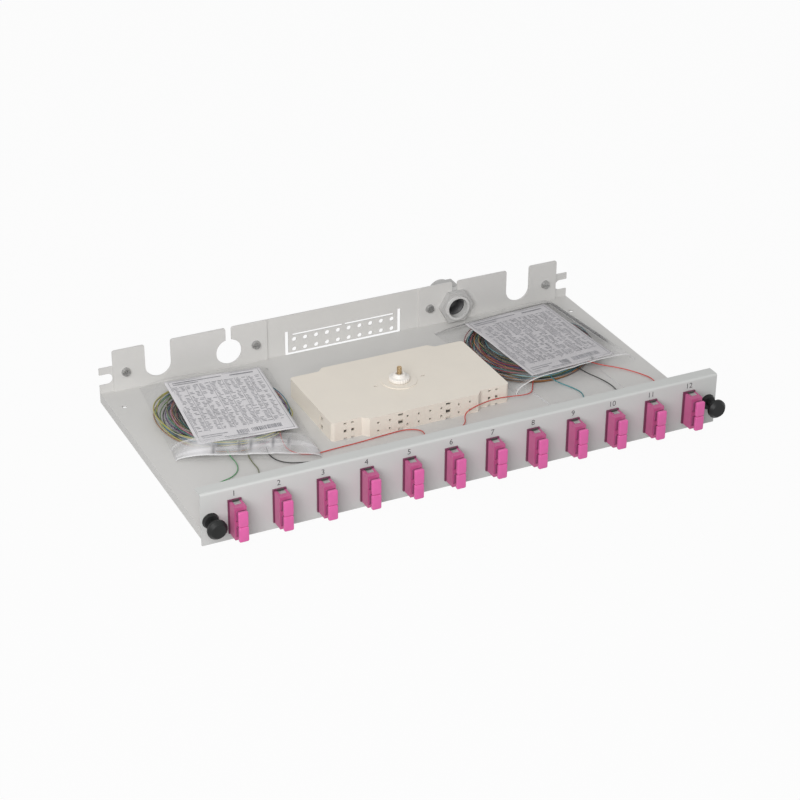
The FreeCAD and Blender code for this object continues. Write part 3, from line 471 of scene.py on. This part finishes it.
# Thumb nut: a white moulded nut with a ribbed rim for the fingers and a tapered collar above it.
# It is turned down on the stud by hand and clamps the cover and the trays.
RIB_COUNT = 22
RIB_DEPTH = 0.0004
RIB_STEPS = 8
RIB_FADE = (0.0068, 0.0080)
NUT_BORE = 0.00265
low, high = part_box("thumb_nut")
nut_radius = (high.x - low.x) / 2
nut_profile = np.array([
    # radius and height, from the bore's foot round the rim and up the collar to the bore's top
    (NUT_BORE, low.z),
    (nut_radius - 0.0008, low.z),
    (nut_radius - 0.0002, low.z + 0.0002),
    (nut_radius, low.z + 0.0008),
    (nut_radius, low.z + 0.0027),
    (nut_radius - 0.0002, low.z + 0.0033),
    (nut_radius - 0.0008, low.z + 0.0035),
    (0.0061, low.z + 0.0036),
    (0.0058, low.z + 0.0039),
    (0.0049, high.z - 0.0006),
    (0.0045, high.z - 0.0001),
    (0.0041, high.z),
    (NUT_BORE, high.z),
])
angle = np.linspace(0, 2 * math.pi, RIB_STEPS * RIB_COUNT, endpoint=False)
rim = np.clip((nut_profile[:, 0] - RIB_FADE[0]) / (RIB_FADE[1] - RIB_FADE[0]), 0, 1)[:, None]
groove = RIB_DEPTH * rim * (0.5 - 0.5 * np.cos(RIB_COUNT * angle)) ** 3
radius = nut_profile[:, 0, None] - groove
height = np.broadcast_to(nut_profile[:, 1, None], radius.shape)
nut_rings = np.stack((radius * np.cos(angle), radius * np.sin(angle), height), -1)
nut_rings[..., 0] += (low.x + high.x) / 2
nut_rings[..., 1] += (low.y + high.y) / 2
nut_faces = grid_faces(*radius.shape, loop_rows=True, loop_columns=True)
nut_mesh = skinned("ribbed_thumb_nut", nut_rings, nut_faces.tolist())
nut_white = finished("nut_white", (0.82, 0.785, 0.74), 0.38, 0.006, 0.03, 0.0005, 0.000008)
ribbed_nut = put_in("ribbed_thumb_nut", nut_mesh, nut_white, "nut")
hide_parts("thumb_nut")


# Pigtail coils: in each bag a dozen coloured fibres, coiled loose into an oval of some thirty turns.
# Each turn wanders from side to side and up and down, and passes over its neighbours.
FIBRE_WIDTH = 0.0009
COIL_SEED = 70
TURN_COUNT = 32
TURN_STEPS = 150
TURN_SIDES = 6
WANDER_WAVES = 4
COIL_WIDTH = 0.0165
COIL_HEIGHT = 0.0081
COIL_FOOT = 0.0005
SIDE_WANDER = 0.20
RISE_WANDER = 0.22
REAR_SLUMP = 0.45
END_ROUNDING = 3
STRAY_SHARE = 0.35
STRAY = {
    # how far the loose turns stray out of the coil, and the way they go, in radians from +X
    "left": (0.006, 2.55),
    "right": (0.010, 3.85),
}
FIBRE_COLOURS = {
    "left": (
        (0.13, 0.24, 0.06), (0.02, 0.02, 0.02), (0.40, 0.36, 0.07), (0.03, 0.03, 0.025),
        (0.03, 0.14, 0.20), (0.10, 0.04, 0.15), (0.36, 0.10, 0.17), (0.16, 0.16, 0.07),
        (0.05, 0.20, 0.17), (0.30, 0.15, 0.05), (0.02, 0.02, 0.02), (0.34, 0.34, 0.30),
    ),
    "right": (
        (0.36, 0.14, 0.03), (0.02, 0.02, 0.02), (0.16, 0.36, 0.40), (0.22, 0.025, 0.03),
        (0.05, 0.15, 0.06), (0.02, 0.12, 0.15), (0.09, 0.035, 0.15), (0.15, 0.08, 0.04),
        (0.02, 0.02, 0.02), (0.30, 0.26, 0.06), (0.04, 0.06, 0.16), (0.26, 0.26, 0.25),
    ),
}


def tubes(lines, radius, sides):
    """Round tubes round closed lines: at each point a circle across the line's own direction."""
    ahead = np.roll(lines, -1, axis=-2) - np.roll(lines, 1, axis=-2)
    ahead /= np.linalg.norm(ahead, axis=-1, keepdims=True)
    aside = np.cross(ahead, (0, 0, 1))
    aside /= np.linalg.norm(aside, axis=-1, keepdims=True)
    above = np.cross(aside, ahead)
    angle = np.linspace(0, 2 * math.pi, sides, endpoint=False)[:, None]
    circle = np.cos(angle) * aside[..., None, :] + np.sin(angle) * above[..., None, :]
    return lines[..., None, :] + radius * circle


fibre_jacket = finished("fibre_jacket", (0.5, 0.5, 0.5), 0.38, 0.02, 0.05, 0.0006, 0.000004)
tree = fibre_jacket.node_tree
jacket_colour = tree.nodes.new("ShaderNodeVertexColor")
jacket_colour.layer_name = "jacket"
join(tree, jacket_colour.outputs["Color"], tree.nodes["Principled BSDF"].inputs["Base Color"])
tree.nodes.remove(tree.nodes["Color Ramp"])
for seed, name in enumerate(("left", "right")):
    node = f"{name}_pigtail_coil"
    low, high = (np.array(corner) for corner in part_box(node))
    middle = (low + high) / 2
    outer = (high[0] - low[0]) / 2 - FIBRE_WIDTH / 2
    straight = (high[1] - low[1]) - (high[0] - low[0])
    winding = np.random.default_rng(COIL_SEED + seed)
    turn = np.linspace(0, 2 * math.pi, TURN_STEPS, endpoint=False)
    order = np.arange(1, WANDER_WAVES + 1)[:, None]
    wander = winding.normal(0, 1, (2, TURN_COUNT, WANDER_WAVES, 1)) / order
    phase = winding.uniform(0, 2 * math.pi, (2, TURN_COUNT, WANDER_WAVES, 1))
    wave = (wander * np.cos(order * turn + phase)).sum(2)
    lane = winding.uniform(0, 1, (2, TURN_COUNT, 1))
    # Each turn keeps to a lane across the coil and a lane up it, and the loose ones bulge out one way.
    stray_reach, stray_way = STRAY[name]
    stray = stray_reach * np.clip(np.cos(turn - stray_way), 0, 1) ** 2 * (lane[0] < STRAY_SHARE)
    across = outer - COIL_WIDTH * np.clip(lane[0] + SIDE_WANDER * wave[0], 0, 1) + stray
    slump = 1 - REAR_SLUMP * np.clip(np.sin(turn), 0, 1)
    rise = COIL_HEIGHT * slump * np.clip(lane[1] + RISE_WANDER * wave[1], 0, 1)
    end = straight / 2 * np.tanh(END_ROUNDING * np.sin(turn)) / np.tanh(END_ROUNDING)
    lines = np.stack((middle[0] + across * np.cos(turn), middle[1] + across * np.sin(turn) + end,
                      low[2] + COIL_FOOT + rise), -1)
    rings = tubes(lines, FIBRE_WIDTH / 2, TURN_SIDES)
    one_turn = grid_faces(TURN_STEPS, TURN_SIDES, loop_rows=True, loop_columns=True)
    faces = one_turn + np.arange(TURN_COUNT)[:, None, None] * TURN_STEPS * TURN_SIDES
    coil_mesh = skinned(f"{name}_coiled_fibres", rings, faces.reshape(-1, 4).tolist())
    picks = np.array(FIBRE_COLOURS[name])[np.arange(TURN_COUNT) % len(FIBRE_COLOURS[name])]
    colours = np.ones((TURN_COUNT, TURN_STEPS * TURN_SIDES, 4))
    colours[..., :3] = picks[:, None]
    jacket = coil_mesh.color_attributes.new("jacket", "FLOAT_COLOR", "POINT")
    jacket.data.foreach_set("color", colours.ravel())
    coil = put_in(f"{name}_coiled_fibres", coil_mesh, fibre_jacket, "drawer")
    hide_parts(node)


# Papers: a printed packing sheet lies on each coil inside the bag and sags a little over the coil's eye.
# The print is plain bars in rows and columns, with two blocks of thin strokes at the foot, and says nothing.
PAPER_SIZE = (0.081, 0.108)
PAPER_GRID = (45, 63)
PAPER_THICKNESS = 0.0002
PAPER_CLEARANCE = 0.0004
PAPER_DIP = (0.0009, 0.026)
SLANT_RIPPLE = (0.00022, 0.0085, 0.031)
CROSS_RIPPLE = (0.00016, 0.0107)
INK_CLEARANCE = 0.00016
PRINT_SEED = 11
PAPERS = {
    # middle x and y, turn in degrees, paper colour, columns of words, pitch of the rows
    "left": (-0.1346, 0.1581, -5.8, (0.72, 0.705, 0.72), 7, 0.0023),
    # The right sheet's darker grey is partly its own and partly painted shade.
    "right": (0.1448, 0.1555, 3.5, (0.575, 0.56, 0.575), 8, 0.0021),
}
FRAME_AND_HEAD = (
    # low and high corners, across and along the paper: the frame's four rules and three lines at the head
    (-0.0380, -0.0515, -0.0376, 0.0515),
    (0.0376, -0.0515, 0.0380, 0.0515),
    (-0.0380, -0.0517, 0.0380, -0.0513),
    (-0.0380, 0.0513, 0.0380, 0.0517),
    (-0.0350, 0.0478, 0.0060, 0.0491),
    (-0.0350, 0.0449, -0.0140, 0.0459),
    (0.0130, 0.0470, 0.0330, 0.0486),
)
FOOT_LINES = (
    # low and high corners of three lines at the foot
    (-0.0350, -0.0436, -0.0140, -0.0424),
    (-0.0350, -0.0466, -0.0190, -0.0454),
    (-0.0350, -0.0499, 0.0010, -0.0488),
)
TABLE_LEFT = -0.0362
TABLE_WIDTH = 0.073
TABLE_ROWS = (0.0405, -0.0365)
COLUMN_RULE = (-0.0007, -0.0375, -0.0004, 0.0425)
WORD_HEIGHT = 0.0009
WORD_SHARE = 0.85
WORD_INDENT = 0.0010
WORD_SHORTEST = 0.0016
STROKE_ROWS = (-0.0478, -0.0418)
STROKE_STEP = (0.0006, 0.0013)
STROKE_WIDTH = (0.0004, 0.0008)
STROKE_BLOCKS = (
    # where a block starts across the paper, and its count of strokes
    (-0.0075, 9),
    (0.0040, 26),
)


def hump(distance, width):
    """One at no distance, falling away to both sides as a bell: e to the power of minus the square of the
    distance over the width."""
    return np.exp(-(distance / width) ** 2)


def paper_rise(across, along):
    """Height of the paper above the coil's top: a clearance and two slow ripples, one of them aslant, less a
    bell-shaped dip over the eye of the coil."""
    dip = PAPER_DIP[0] * hump(np.hypot(across, along), PAPER_DIP[1])
    ripple = SLANT_RIPPLE[0] * np.sin(across / SLANT_RIPPLE[1] + along / SLANT_RIPPLE[2])
    ripple += CROSS_RIPPLE[0] * np.sin(along / CROSS_RIPPLE[1])
    return PAPER_CLEARANCE + ripple - dip


def turned_about(x, y, degrees, across, along, height):
    """Points given across and along a piece, turned about the vertical and carried to the piece's middle."""
    turn = math.radians(degrees)
    return np.stack((x + across * math.cos(turn) - along * math.sin(turn),
                     y + across * math.sin(turn) + along * math.cos(turn), height), -1)


def bars(seed, columns, pitch):
    """Printed bars as rows of low and high corners across and along the paper: a frame, head lines, a table
    with two words of uneven length to a cell and a thin rule before each column, and at the foot two blocks
    of thin strokes and three lines."""
    press = np.random.default_rng(seed)
    rows = list(FRAME_AND_HEAD)
    step = TABLE_WIDTH / columns
    for column in range(columns):
        x = TABLE_LEFT + step * column
        rows.append((x + COLUMN_RULE[0], COLUMN_RULE[1], x + COLUMN_RULE[2], COLUMN_RULE[3]))
        for y in np.arange(*TABLE_ROWS, -pitch):
            for word in range(2):
                start = x + word * step / 2 + press.uniform(0, WORD_INDENT)
                if press.random() < WORD_SHARE:
                    stop = start + press.uniform(WORD_SHORTEST, step / 2 - WORD_INDENT)
                    rows.append((start, y, stop, y + WORD_HEIGHT))
    for first, count in STROKE_BLOCKS:
        strokes = first + np.cumsum(press.uniform(*STROKE_STEP, count))
        for x in strokes:
            rows.append((x, STROKE_ROWS[0], x + press.uniform(*STROKE_WIDTH), STROKE_ROWS[1]))
    return np.array(rows + list(FOOT_LINES))


print_grey = finished("paper_print", (0.27, 0.27, 0.29), 0.65, 0.004, 0.35, 0.0006, 0.000004)
for seed, (name, (x, y, degrees, colour, columns, pitch)) in enumerate(PAPERS.items()):
    coil_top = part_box(f"{name}_pigtail_coil")[1].z
    across, along = np.meshgrid(*(np.linspace(-0.5, 0.5, count) * size
                                  for count, size in zip(PAPER_GRID, PAPER_SIZE)), indexing="ij")
    points = turned_about(x, y, degrees, across, along, coil_top + paper_rise(across, along))
    sheet_mesh = skinned(f"{name}_packing_sheet", points, grid_faces(*across.shape).tolist())
    packing_paper = finished(f"{name}_packing_paper", colour, 0.7, 0.03, 0.04, 0.0009, 0.00001)
    paper = put_in(f"{name}_packing_sheet", sheet_mesh, packing_paper, "drawer")
    gauge = paper.modifiers.new("thickness", "SOLIDIFY")
    gauge.thickness = PAPER_THICKNESS
    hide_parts(f"{name}_label")

    boxes = bars(PRINT_SEED + seed, columns, pitch)
    bar_across = boxes[:, (0, 2, 2, 0)]
    bar_along = boxes[:, (1, 1, 3, 3)]
    bar_top = coil_top + paper_rise(bar_across, bar_along) + INK_CLEARANCE
    corners = turned_about(x, y, degrees, bar_across, bar_along, bar_top)
    print_mesh = bpy.data.meshes.new(f"{name}_sheet_print")
    bar_faces = np.arange(len(boxes) * 4).reshape(-1, 4)
    print_mesh.from_pydata(corners.reshape(-1, 3).tolist(), [], bar_faces.tolist())
    ink = put_in(f"{name}_sheet_print", print_mesh, print_grey, "drawer")


# Bags: clear polythene bags, welded at the rear and the sides, open in front, lying round a coil and its
# paper. The film is drawn smooth over the paper and milky at the lip and the creases in front. Painted
# shade darkens it along parts of the welds and at some creases, and a painted highlight whitens the lip
# and the edges of the lower sheet's tongue.
FILM_SEED = 90
FILM_THICKNESS = 0.00008
FILM_GRID = (121, 171)
FILM_SWELL = 0.0120
SWELL_POWER = 5
FILM_LAP = 0.0004
FLOOR_GAP = 0.0002
SIDE_INSET = 0.0005
REAR_PINCH = (0.95, 0.0060)
APRON_LENGTH = 0.017
PLEAT_HEIGHT = 0.0003
PLEAT_PITCHES = (0.0034, 0.013, 0.0071)
PLEAT_SWAY = 1.5
RIDGE_COUNT = 50
RIDGE_HEIGHT = 0.0002
RIDGE_LENGTH = (0.006, 0.020)
RIDGE_WIDTH = (0.0006, 0.0014)
RIDGE_SHARE = (0.3, 1)
BAGS = {
    # middle x and y, width, front edge at the left and right end, rear edge, turn in degrees, depth and
    # length of the droop at the mouth, haze of the apron behind the lip, haze of the folded left corner
    "left": (-0.1395, 0.1530, 0.110, (-0.0522, -0.0826), 0.0725, -6.5, 0.60, 0.007, 0.30, 0.36),
    "right": (0.1425, 0.15835, 0.120, (-0.0620, -0.0620), 0.0655, 5.5, 0.12, 0.004, 0.06, 0.0),
}
FOLDS = {
    # distance behind the lip, slope across the bag, height, width; all in metres but the slope
    "left": ((0.0060, 0.04, 0.0006, 0.0009), (0.0120, -0.06, 0.0005, 0.0010), (0.0175, 0.06, 0.0004, 0.0009)),
    "right": ((0.0040, 0.02, 0.0003, 0.0007),),
}
TONGUES = {
    # the lower sheet's tongue in front of the mouth: from and to, as shares of half the width, and its length
    "left": (-0.5, 0.5, 0.0),
    "right": (-0.775, 0.417, 0.036),
}
TONGUE_CORNER = 0.004
SHADED_CREASES = {
    # across and along, in metres from the bag's middle: creases milky and darkened with painted shade
    "left": ((-0.026, -0.0570), (-0.006, -0.0590), (0.003, -0.0610), (0.020, -0.0640), (0.032, -0.0660)),
    "right": ((0.018, -0.0585),),
}
SHADED_CREASE_LEAN = 0.35
SHADED_CREASE_SIZE = (0.0017, 0.0055)
SHADED_CREASE_DEPTH = 0.8
SHADED_WELDS = {
    # share of the rear weld from the left end, and of the right-hand weld from the rear, with painted shade
    "left": ((0.45, 0.80), 0.0),
    "right": ((0.0, 1.0), 0.7),
}
WELD_INSET = 0.002
WELD_WIDTH = 0.0013
WELD_FADE = 0.03
# Widths of the right-hand weld and of the broad halo round it, and the halo's share; both carry painted shade.
SIDE_WELD_WIDTHS = (0.0016, 0.013)
SIDE_WELD_SHADE_HALO = 0.25
LIP_WIDTH = 0.0011
CORNER_PLACE = -0.8
CORNER_SIZE = (0.25, 0.008)
EDGE_WIDTHS = (0.003, 0.004)
HEM_WIDTH = 0.020
HEM_RIGHT_SHARE = 0.3
HEM_START = 0.001
MILK = {
    # how much each kind of crease adds to the film's milkiness, folds per metre of their height
    "fold": 0.28 / 0.0006,
    "ridge": 0.05,
    "pleat": 0.8,
    "edge": 0.02,
    "lip": 0.9,
    "shaded_crease": 0.7,
    "shaded_weld": 0.7,
}
PAINTED_SHADE_SHARES = {
    # how much each adds to the painted shade of the film
    "shaded_crease": 0.95,
    "shaded_weld": 0.9,
    "lip": -0.8,
}
FILM_COVER = (0.012, 0.75)
# Grey of the painted shade that darkens the film.
PAINTED_SHADE_GREY = (0.10, 0.10, 0.105)
# White of the painted highlight on the lip and the edges of the lower sheet's tongue.
PAINTED_HIGHLIGHT_WHITE = (0.95, 0.95, 0.95)


def film_layer(tree, name):
    """The value of one of the film's own attributes."""
    layer = tree.nodes.new("ShaderNodeAttribute")
    layer.attribute_name = name
    return layer.outputs["Fac"]


def mixed(tree, share, base, colour):
    """A colour that goes from a base to a fixed colour by a share."""
    mix = tree.nodes.new("ShaderNodeMix")
    mix.data_type = "RGBA"
    join(tree, share, mix.inputs["Factor"])
    join(tree, base, mix.inputs["A"])
    mix.inputs["B"].default_value = (*colour, 1)
    return mix.outputs["Result"]


def soft_step(value, start, fade):
    """A soft step from zero to one where the value passes the start: one over one plus e to the power of the
    distance still to go over the fade."""
    return 1 / (1 + np.exp((start - value) / fade))


def crossing_ridges(press, count, across, along, size):
    """Short creases at chance places: each a ridge that fades to both sides and more slowly to both ends."""
    place = press.uniform(-0.5, 0.5, (2, count, 1, 1)) * np.array(size)[:, None, None, None]
    way = press.uniform(0, math.pi, (count, 1, 1))
    long = press.uniform(*RIDGE_LENGTH, (count, 1, 1))
    wide = press.uniform(*RIDGE_WIDTH, (count, 1, 1))
    run = (across - place[0]) * np.cos(way) + (along - place[1]) * np.sin(way)
    off = (along - place[1]) * np.cos(way) - (across - place[0]) * np.sin(way)
    return (press.uniform(*RIDGE_SHARE, (count, 1, 1)) * hump(off, wide) * hump(run, long)).sum(0)


clear_film = finished("clear_film", (0.78, 0.775, 0.79), 0.16, 0.02, 0.02, 0.004, 0.00012)
tree = clear_film.node_tree
film_shader = tree.nodes["Principled BSDF"]
cover = tree.nodes.new("ShaderNodeMapRange")
cover.inputs["To Min"].default_value = FILM_COVER[0]
cover.inputs["To Max"].default_value = FILM_COVER[1]
join(tree, film_layer(tree, "milk"), cover.inputs["Value"])
join(tree, cover.outputs["Result"], film_shader.inputs["Alpha"])
film_colour = tree.nodes["Color Ramp"].outputs["Color"]
# Painted shade greys the film where its attribute says.
film_colour = mixed(tree, film_layer(tree, "painted_shade"), film_colour, PAINTED_SHADE_GREY)
# A painted highlight whitens the lip and the edges of the lower sheet's tongue.
film_colour = mixed(tree, film_layer(tree, "painted_highlight"), film_colour, PAINTED_HIGHLIGHT_WHITE)
join(tree, film_colour, film_shader.inputs["Base Color"])

for seed, (name, bag_shape) in enumerate(BAGS.items()):
    x, y, width, front, rear, degrees, droop, droop_length, haze, corner_haze = bag_shape
    low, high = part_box(f"{name}_bag")
    press = np.random.default_rng(FILM_SEED + seed)
    side, reach = np.meshgrid(np.linspace(-1, 1, FILM_GRID[0]),
                              np.linspace(0, 1, FILM_GRID[1]), indexing="ij")
    across = side * (width / 2 - SIDE_INSET)
    mouth = front[0] + (front[1] - front[0]) * (side + 1) / 2
    along = mouth + reach * (rear - mouth)
    behind = along - mouth
    # The upper sheet: swollen by the coil, drooping at the mouth and pinched flat at the rear weld.
    swell = np.sqrt(1 - np.abs(side) ** SWELL_POWER)
    open_end = 1 - droop * hump(behind, droop_length)
    shut_end = 1 - REAR_PINCH[0] * hump(rear - along, REAR_PINCH[1])
    apron = np.exp(-(behind / APRON_LENGTH) ** 4)
    narrow, slow, wide = (across / pitch for pitch in PLEAT_PITCHES)
    pleats = apron * (np.sin(narrow + PLEAT_SWAY * np.sin(slow)) + np.sin(wide)) / 2
    folds = np.zeros_like(side)
    for place, slope, amount, spread in FOLDS[name]:
        folds += amount * hump(behind - place - slope * across, spread)
    ridges = crossing_ridges(press, RIDGE_COUNT, across, along, (width, 2 * rear))
    rise = FILM_SWELL * open_end * shut_end + PLEAT_HEIGHT * pleats + folds + RIDGE_HEIGHT * ridges * shut_end
    top = low.z + np.minimum(FILM_LAP + rise * swell, high.z - low.z - FILM_LAP)
    # The lower sheet: flat on the tray, with its tongue in front of the mouth.
    bottom = np.full_like(top, low.z + FLOOR_GAP)
    tongue_from, tongue_to, tongue_length = TONGUES[name]
    tongue = soft_step(side, tongue_from, TONGUE_CORNER) * soft_step(-side, -tongue_to, TONGUE_CORNER)
    under_mouth = mouth - tongue_length * tongue
    under = under_mouth + reach * (rear - under_mouth)
    points = turned_about(x, y, degrees, np.concatenate((across, across[::-1])),
                          np.concatenate((along, under[::-1])), np.concatenate((top, bottom[::-1])))
    rows, columns = points.shape[:2]
    film_mesh = skinned(f"{name}_clear_bag", points, grid_faces(rows, columns, loop_rows=True).tolist())

    # The film's look: how milky it is, where painted shade darkens it and where a painted highlight lies.
    lip = hump(behind, LIP_WIDTH)
    corner = hump(side - CORNER_PLACE, CORNER_SIZE[0]) * hump(behind, CORNER_SIZE[1])
    shaded_crease = np.zeros_like(side)
    for place_x, place_y in SHADED_CREASES[name]:
        lean = across - place_x - SHADED_CREASE_LEAN * (along - place_y)
        shaded_crease += SHADED_CREASE_DEPTH * hump(lean, SHADED_CREASE_SIZE[0]) * hump(along - place_y, SHADED_CREASE_SIZE[1])
    (start, stop), share = SHADED_WELDS[name]
    from_left = (side + 1) / 2
    shaded_span = soft_step(from_left, start, WELD_FADE) * soft_step(-from_left, -stop, WELD_FADE)
    shaded_weld = shaded_span * hump(rear - along - WELD_INSET, WELD_WIDTH)
    inward = (1 - side) * width / 2
    right_weld = hump(inward, SIDE_WELD_WIDTHS[0]) + SIDE_WELD_SHADE_HALO * hump(inward, SIDE_WELD_WIDTHS[1])
    shaded_weld += right_weld * soft_step(reach, 1 - share, WELD_FADE) * (share > 0)
    edge = hump((1 - np.abs(side)) * width, EDGE_WIDTHS[0]) + hump(rear - along, EDGE_WIDTHS[1])
    creases = {"fold": folds, "ridge": ridges, "edge": edge, "lip": lip, "shaded_crease": shaded_crease, "shaded_weld": shaded_weld}
    milk = haze * apron * (1 + MILK["pleat"] * pleats) + corner_haze * corner
    milk += sum(MILK[kind] * crease for kind, crease in creases.items())
    painted_shade = sum(share * creases[kind] for kind, share in PAINTED_SHADE_SHARES.items())
    hem = hump(side - tongue_from, HEM_WIDTH) + HEM_RIGHT_SHARE * hump(side - tongue_to, HEM_WIDTH)
    hem = (hem * (under < mouth - HEM_START))[::-1]
    layers = {
        "milk": (np.clip(milk, 0, 1), hem),
        "painted_shade": (np.clip(painted_shade, 0, 1), 0 * hem),
        "painted_highlight": (lip, hem),
    }
    for label, sheets in layers.items():
        layer = film_mesh.attributes.new(label, "FLOAT", "POINT")
        layer.data.foreach_set("value", np.concatenate(sheets).ravel())
    bag = put_in(f"{name}_clear_bag", film_mesh, clear_film, "drawer")
    wall = bag.modifiers.new("wall", "SOLIDIFY")
    wall.thickness = FILM_THICKNESS
    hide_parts(f"{name}_bag")


# Pigtail plugs: white moulded connectors pushed into the lower rear ports of eight couplers.
# Each has a soft tapered boot, and rings round the boot let it bend gently.
PIGTAILS = (1, 2, 4, 6, 7, 10, 11, 12)
BOOT_SPAN = (0.0276, 0.0430)
BOOT_RADII = (0.00255, 0.00122)
BOOT_RIBS = 8
BOOT_RIB_RADIUS = 0.00045
BOOT_STEPS = 24
BOOT_SIDES = 8
PLUG_Z = 0.01365
connector_white = finished("connector_white", (0.74, 0.73, 0.70), 0.4, 0.008, 0.03, 0.0005, 0.000006)
dress(("pigtail_connectors",), connector_white)
rib_share = np.linspace(0, 1, BOOT_RIBS)
rib_y = BOOT_SPAN[0] + rib_share * (BOOT_SPAN[1] - BOOT_SPAN[0])
rib_radius = BOOT_RADII[0] + rib_share * (BOOT_RADII[1] - BOOT_RADII[0])
angle = np.linspace(0, 2 * math.pi, BOOT_STEPS, endpoint=False)[:, None]
round_rib = np.linspace(0, 2 * math.pi, BOOT_SIDES, endpoint=False)
plug_x = np.array([coupler_x(number) for number in PIGTAILS])[:, None, None, None]
rib_out = rib_radius[:, None, None] + BOOT_RIB_RADIUS * np.cos(round_rib)
rib_points = np.stack(np.broadcast_arrays(
    plug_x + rib_out * np.cos(angle),
    rib_y[:, None, None] + BOOT_RIB_RADIUS * np.sin(round_rib),
    PLUG_Z + rib_out * np.sin(angle),
), -1)
one_rib = grid_faces(BOOT_STEPS, BOOT_SIDES, loop_rows=True, loop_columns=True)
rib_faces = one_rib + np.arange(len(PIGTAILS) * BOOT_RIBS)[:, None, None] * BOOT_STEPS * BOOT_SIDES
rib_mesh = skinned("boot_ribs", rib_points, rib_faces.reshape(-1, 4).tolist())
put_in("boot_ribs", rib_mesh, connector_white, "drawer")


# Loose pigtails: single tight-buffered fibres that leave a coil by the bag's mouth, lie on the tray's floor
# and end in the boot of their plug.
BOOT_END_Y = 0.04425
FIBRE_FINISHES = {
    "fibre_green": (0.10, 0.30, 0.13),
    "fibre_olive": (0.16, 0.17, 0.09),
    "fibre_black": (0.03, 0.03, 0.03),
    "fibre_red": (0.58, 0.07, 0.06),
    "fibre_teal": (0.05, 0.25, 0.28),
}
FIBRES = {
    # slot, length, points from the coil towards the plug
    1: ("fibre_green", 0.0801, ((-0.159, 0.107, 0.0135), (-0.1605, 0.096, 0.0106), (-0.1585, 0.085, 0.0098),
                                (-0.161, 0.0745, 0.0093), (-0.169, 0.0665, 0.0093), (-0.18, 0.0635, 0.0096),
                                (-0.1905, 0.0545, 0.012))),
    2: ("fibre_olive", 0.0628, ((-0.1438, 0.103, 0.0135), (-0.147, 0.091, 0.0106), (-0.1475, 0.08, 0.0098),
                                (-0.1465, 0.0695, 0.0093), (-0.15, 0.06, 0.01), (-0.156, 0.0525, 0.0126))),
    4: ("fibre_black", 0.0839, ((-0.1274, 0.1035, 0.0135), (-0.131, 0.092, 0.0106), (-0.1315, 0.0805, 0.0098),
                                (-0.126, 0.0705, 0.0093), (-0.114, 0.0645, 0.0093), (-0.101, 0.0615, 0.0096),
                                (-0.0915, 0.0545, 0.012))),
    6: ("fibre_red", 0.1674, ((-0.1126, 0.109, 0.0135), (-0.115, 0.097, 0.011), (-0.1155, 0.086, 0.0099),
                              (-0.11, 0.0765, 0.0098), (-0.098, 0.0716, 0.0094), (-0.0826, 0.0732, 0.0093),
                              (-0.0596, 0.0739, 0.0093), (-0.0344, 0.0764, 0.0093), (-0.017, 0.0773, 0.0093),
                              (-0.007, 0.071, 0.0094), (-0.0085, 0.061, 0.0106), (-0.0155, 0.0525, 0.0126))),
    7: ("fibre_red", 0.1395, ((0.1206, 0.115, 0.0135), (0.113, 0.106, 0.0112), (0.107, 0.0965, 0.01),
                              (0.1015, 0.0875, 0.01), (0.092, 0.0838, 0.0116), (0.079, 0.0828, 0.014),
                              (0.0634, 0.0823, 0.0154), (0.0465, 0.0782, 0.0156), (0.0365, 0.077, 0.013),
                              (0.033, 0.0745, 0.0104), (0.0302, 0.0668, 0.0096), (0.021, 0.0575, 0.0114))),
    10: ("fibre_teal", 0.0730, ((0.1279, 0.1095, 0.0135), (0.127, 0.0995, 0.0108), (0.131, 0.091, 0.0098),
                                (0.1365, 0.082, 0.0093), (0.1395, 0.072, 0.0093), (0.136, 0.062, 0.0096),
                                (0.128, 0.0533, 0.0124))),
    11: ("fibre_black", 0.0706, ((0.153, 0.1095, 0.0135), (0.1575, 0.0985, 0.011), (0.1635, 0.088, 0.0098),
                                 (0.1675, 0.0765, 0.0093), (0.1675, 0.065, 0.0095), (0.1625, 0.054, 0.0123))),
    12: ("fibre_red", 0.0910, ((0.164, 0.117, 0.0135), (0.1705, 0.1085, 0.0122), (0.1785, 0.1025, 0.0107),
                               (0.187, 0.0965, 0.0099), (0.1935, 0.0885, 0.0098), (0.1995, 0.08, 0.0093),
                               (0.204, 0.07, 0.0093), (0.2025, 0.0595, 0.01), (0.197, 0.052, 0.0124))),
}
jackets = {slot: finished(slot, colour, 0.36, 0.012, 0.12, 0.0006, 0.000004)
           for slot, colour in FIBRE_FINISHES.items()}
for number, (slot, length, route) in FIBRES.items():
    points = np.array(route + ((coupler_x(number), BOOT_END_Y, PLUG_Z),))
    line = bpy.data.curves.new(f"pigtail_fibre_{number:02d}", "CURVE")
    line.dimensions = "3D"
    line.resolution_u = 8
    line.bevel_depth = FIBRE_WIDTH / 2
    line.bevel_resolution = 2
    line.use_fill_caps = True
    spline = line.splines.new("NURBS")
    spline.points.add(len(points) - 1)
    spline.points.foreach_set("co", np.hstack((points, np.ones((len(points), 1)))).ravel())
    spline.order_u = 3
    spline.use_endpoint_u = True
    line.materials.append(jackets[slot])
    fibre = bpy.data.objects.new(f"pigtail_fibre_{number:02d}", line)
    scene.collection.objects.link(fibre)
    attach(fibre, "drawer")
    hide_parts(f"pigtail_{number:02d}")
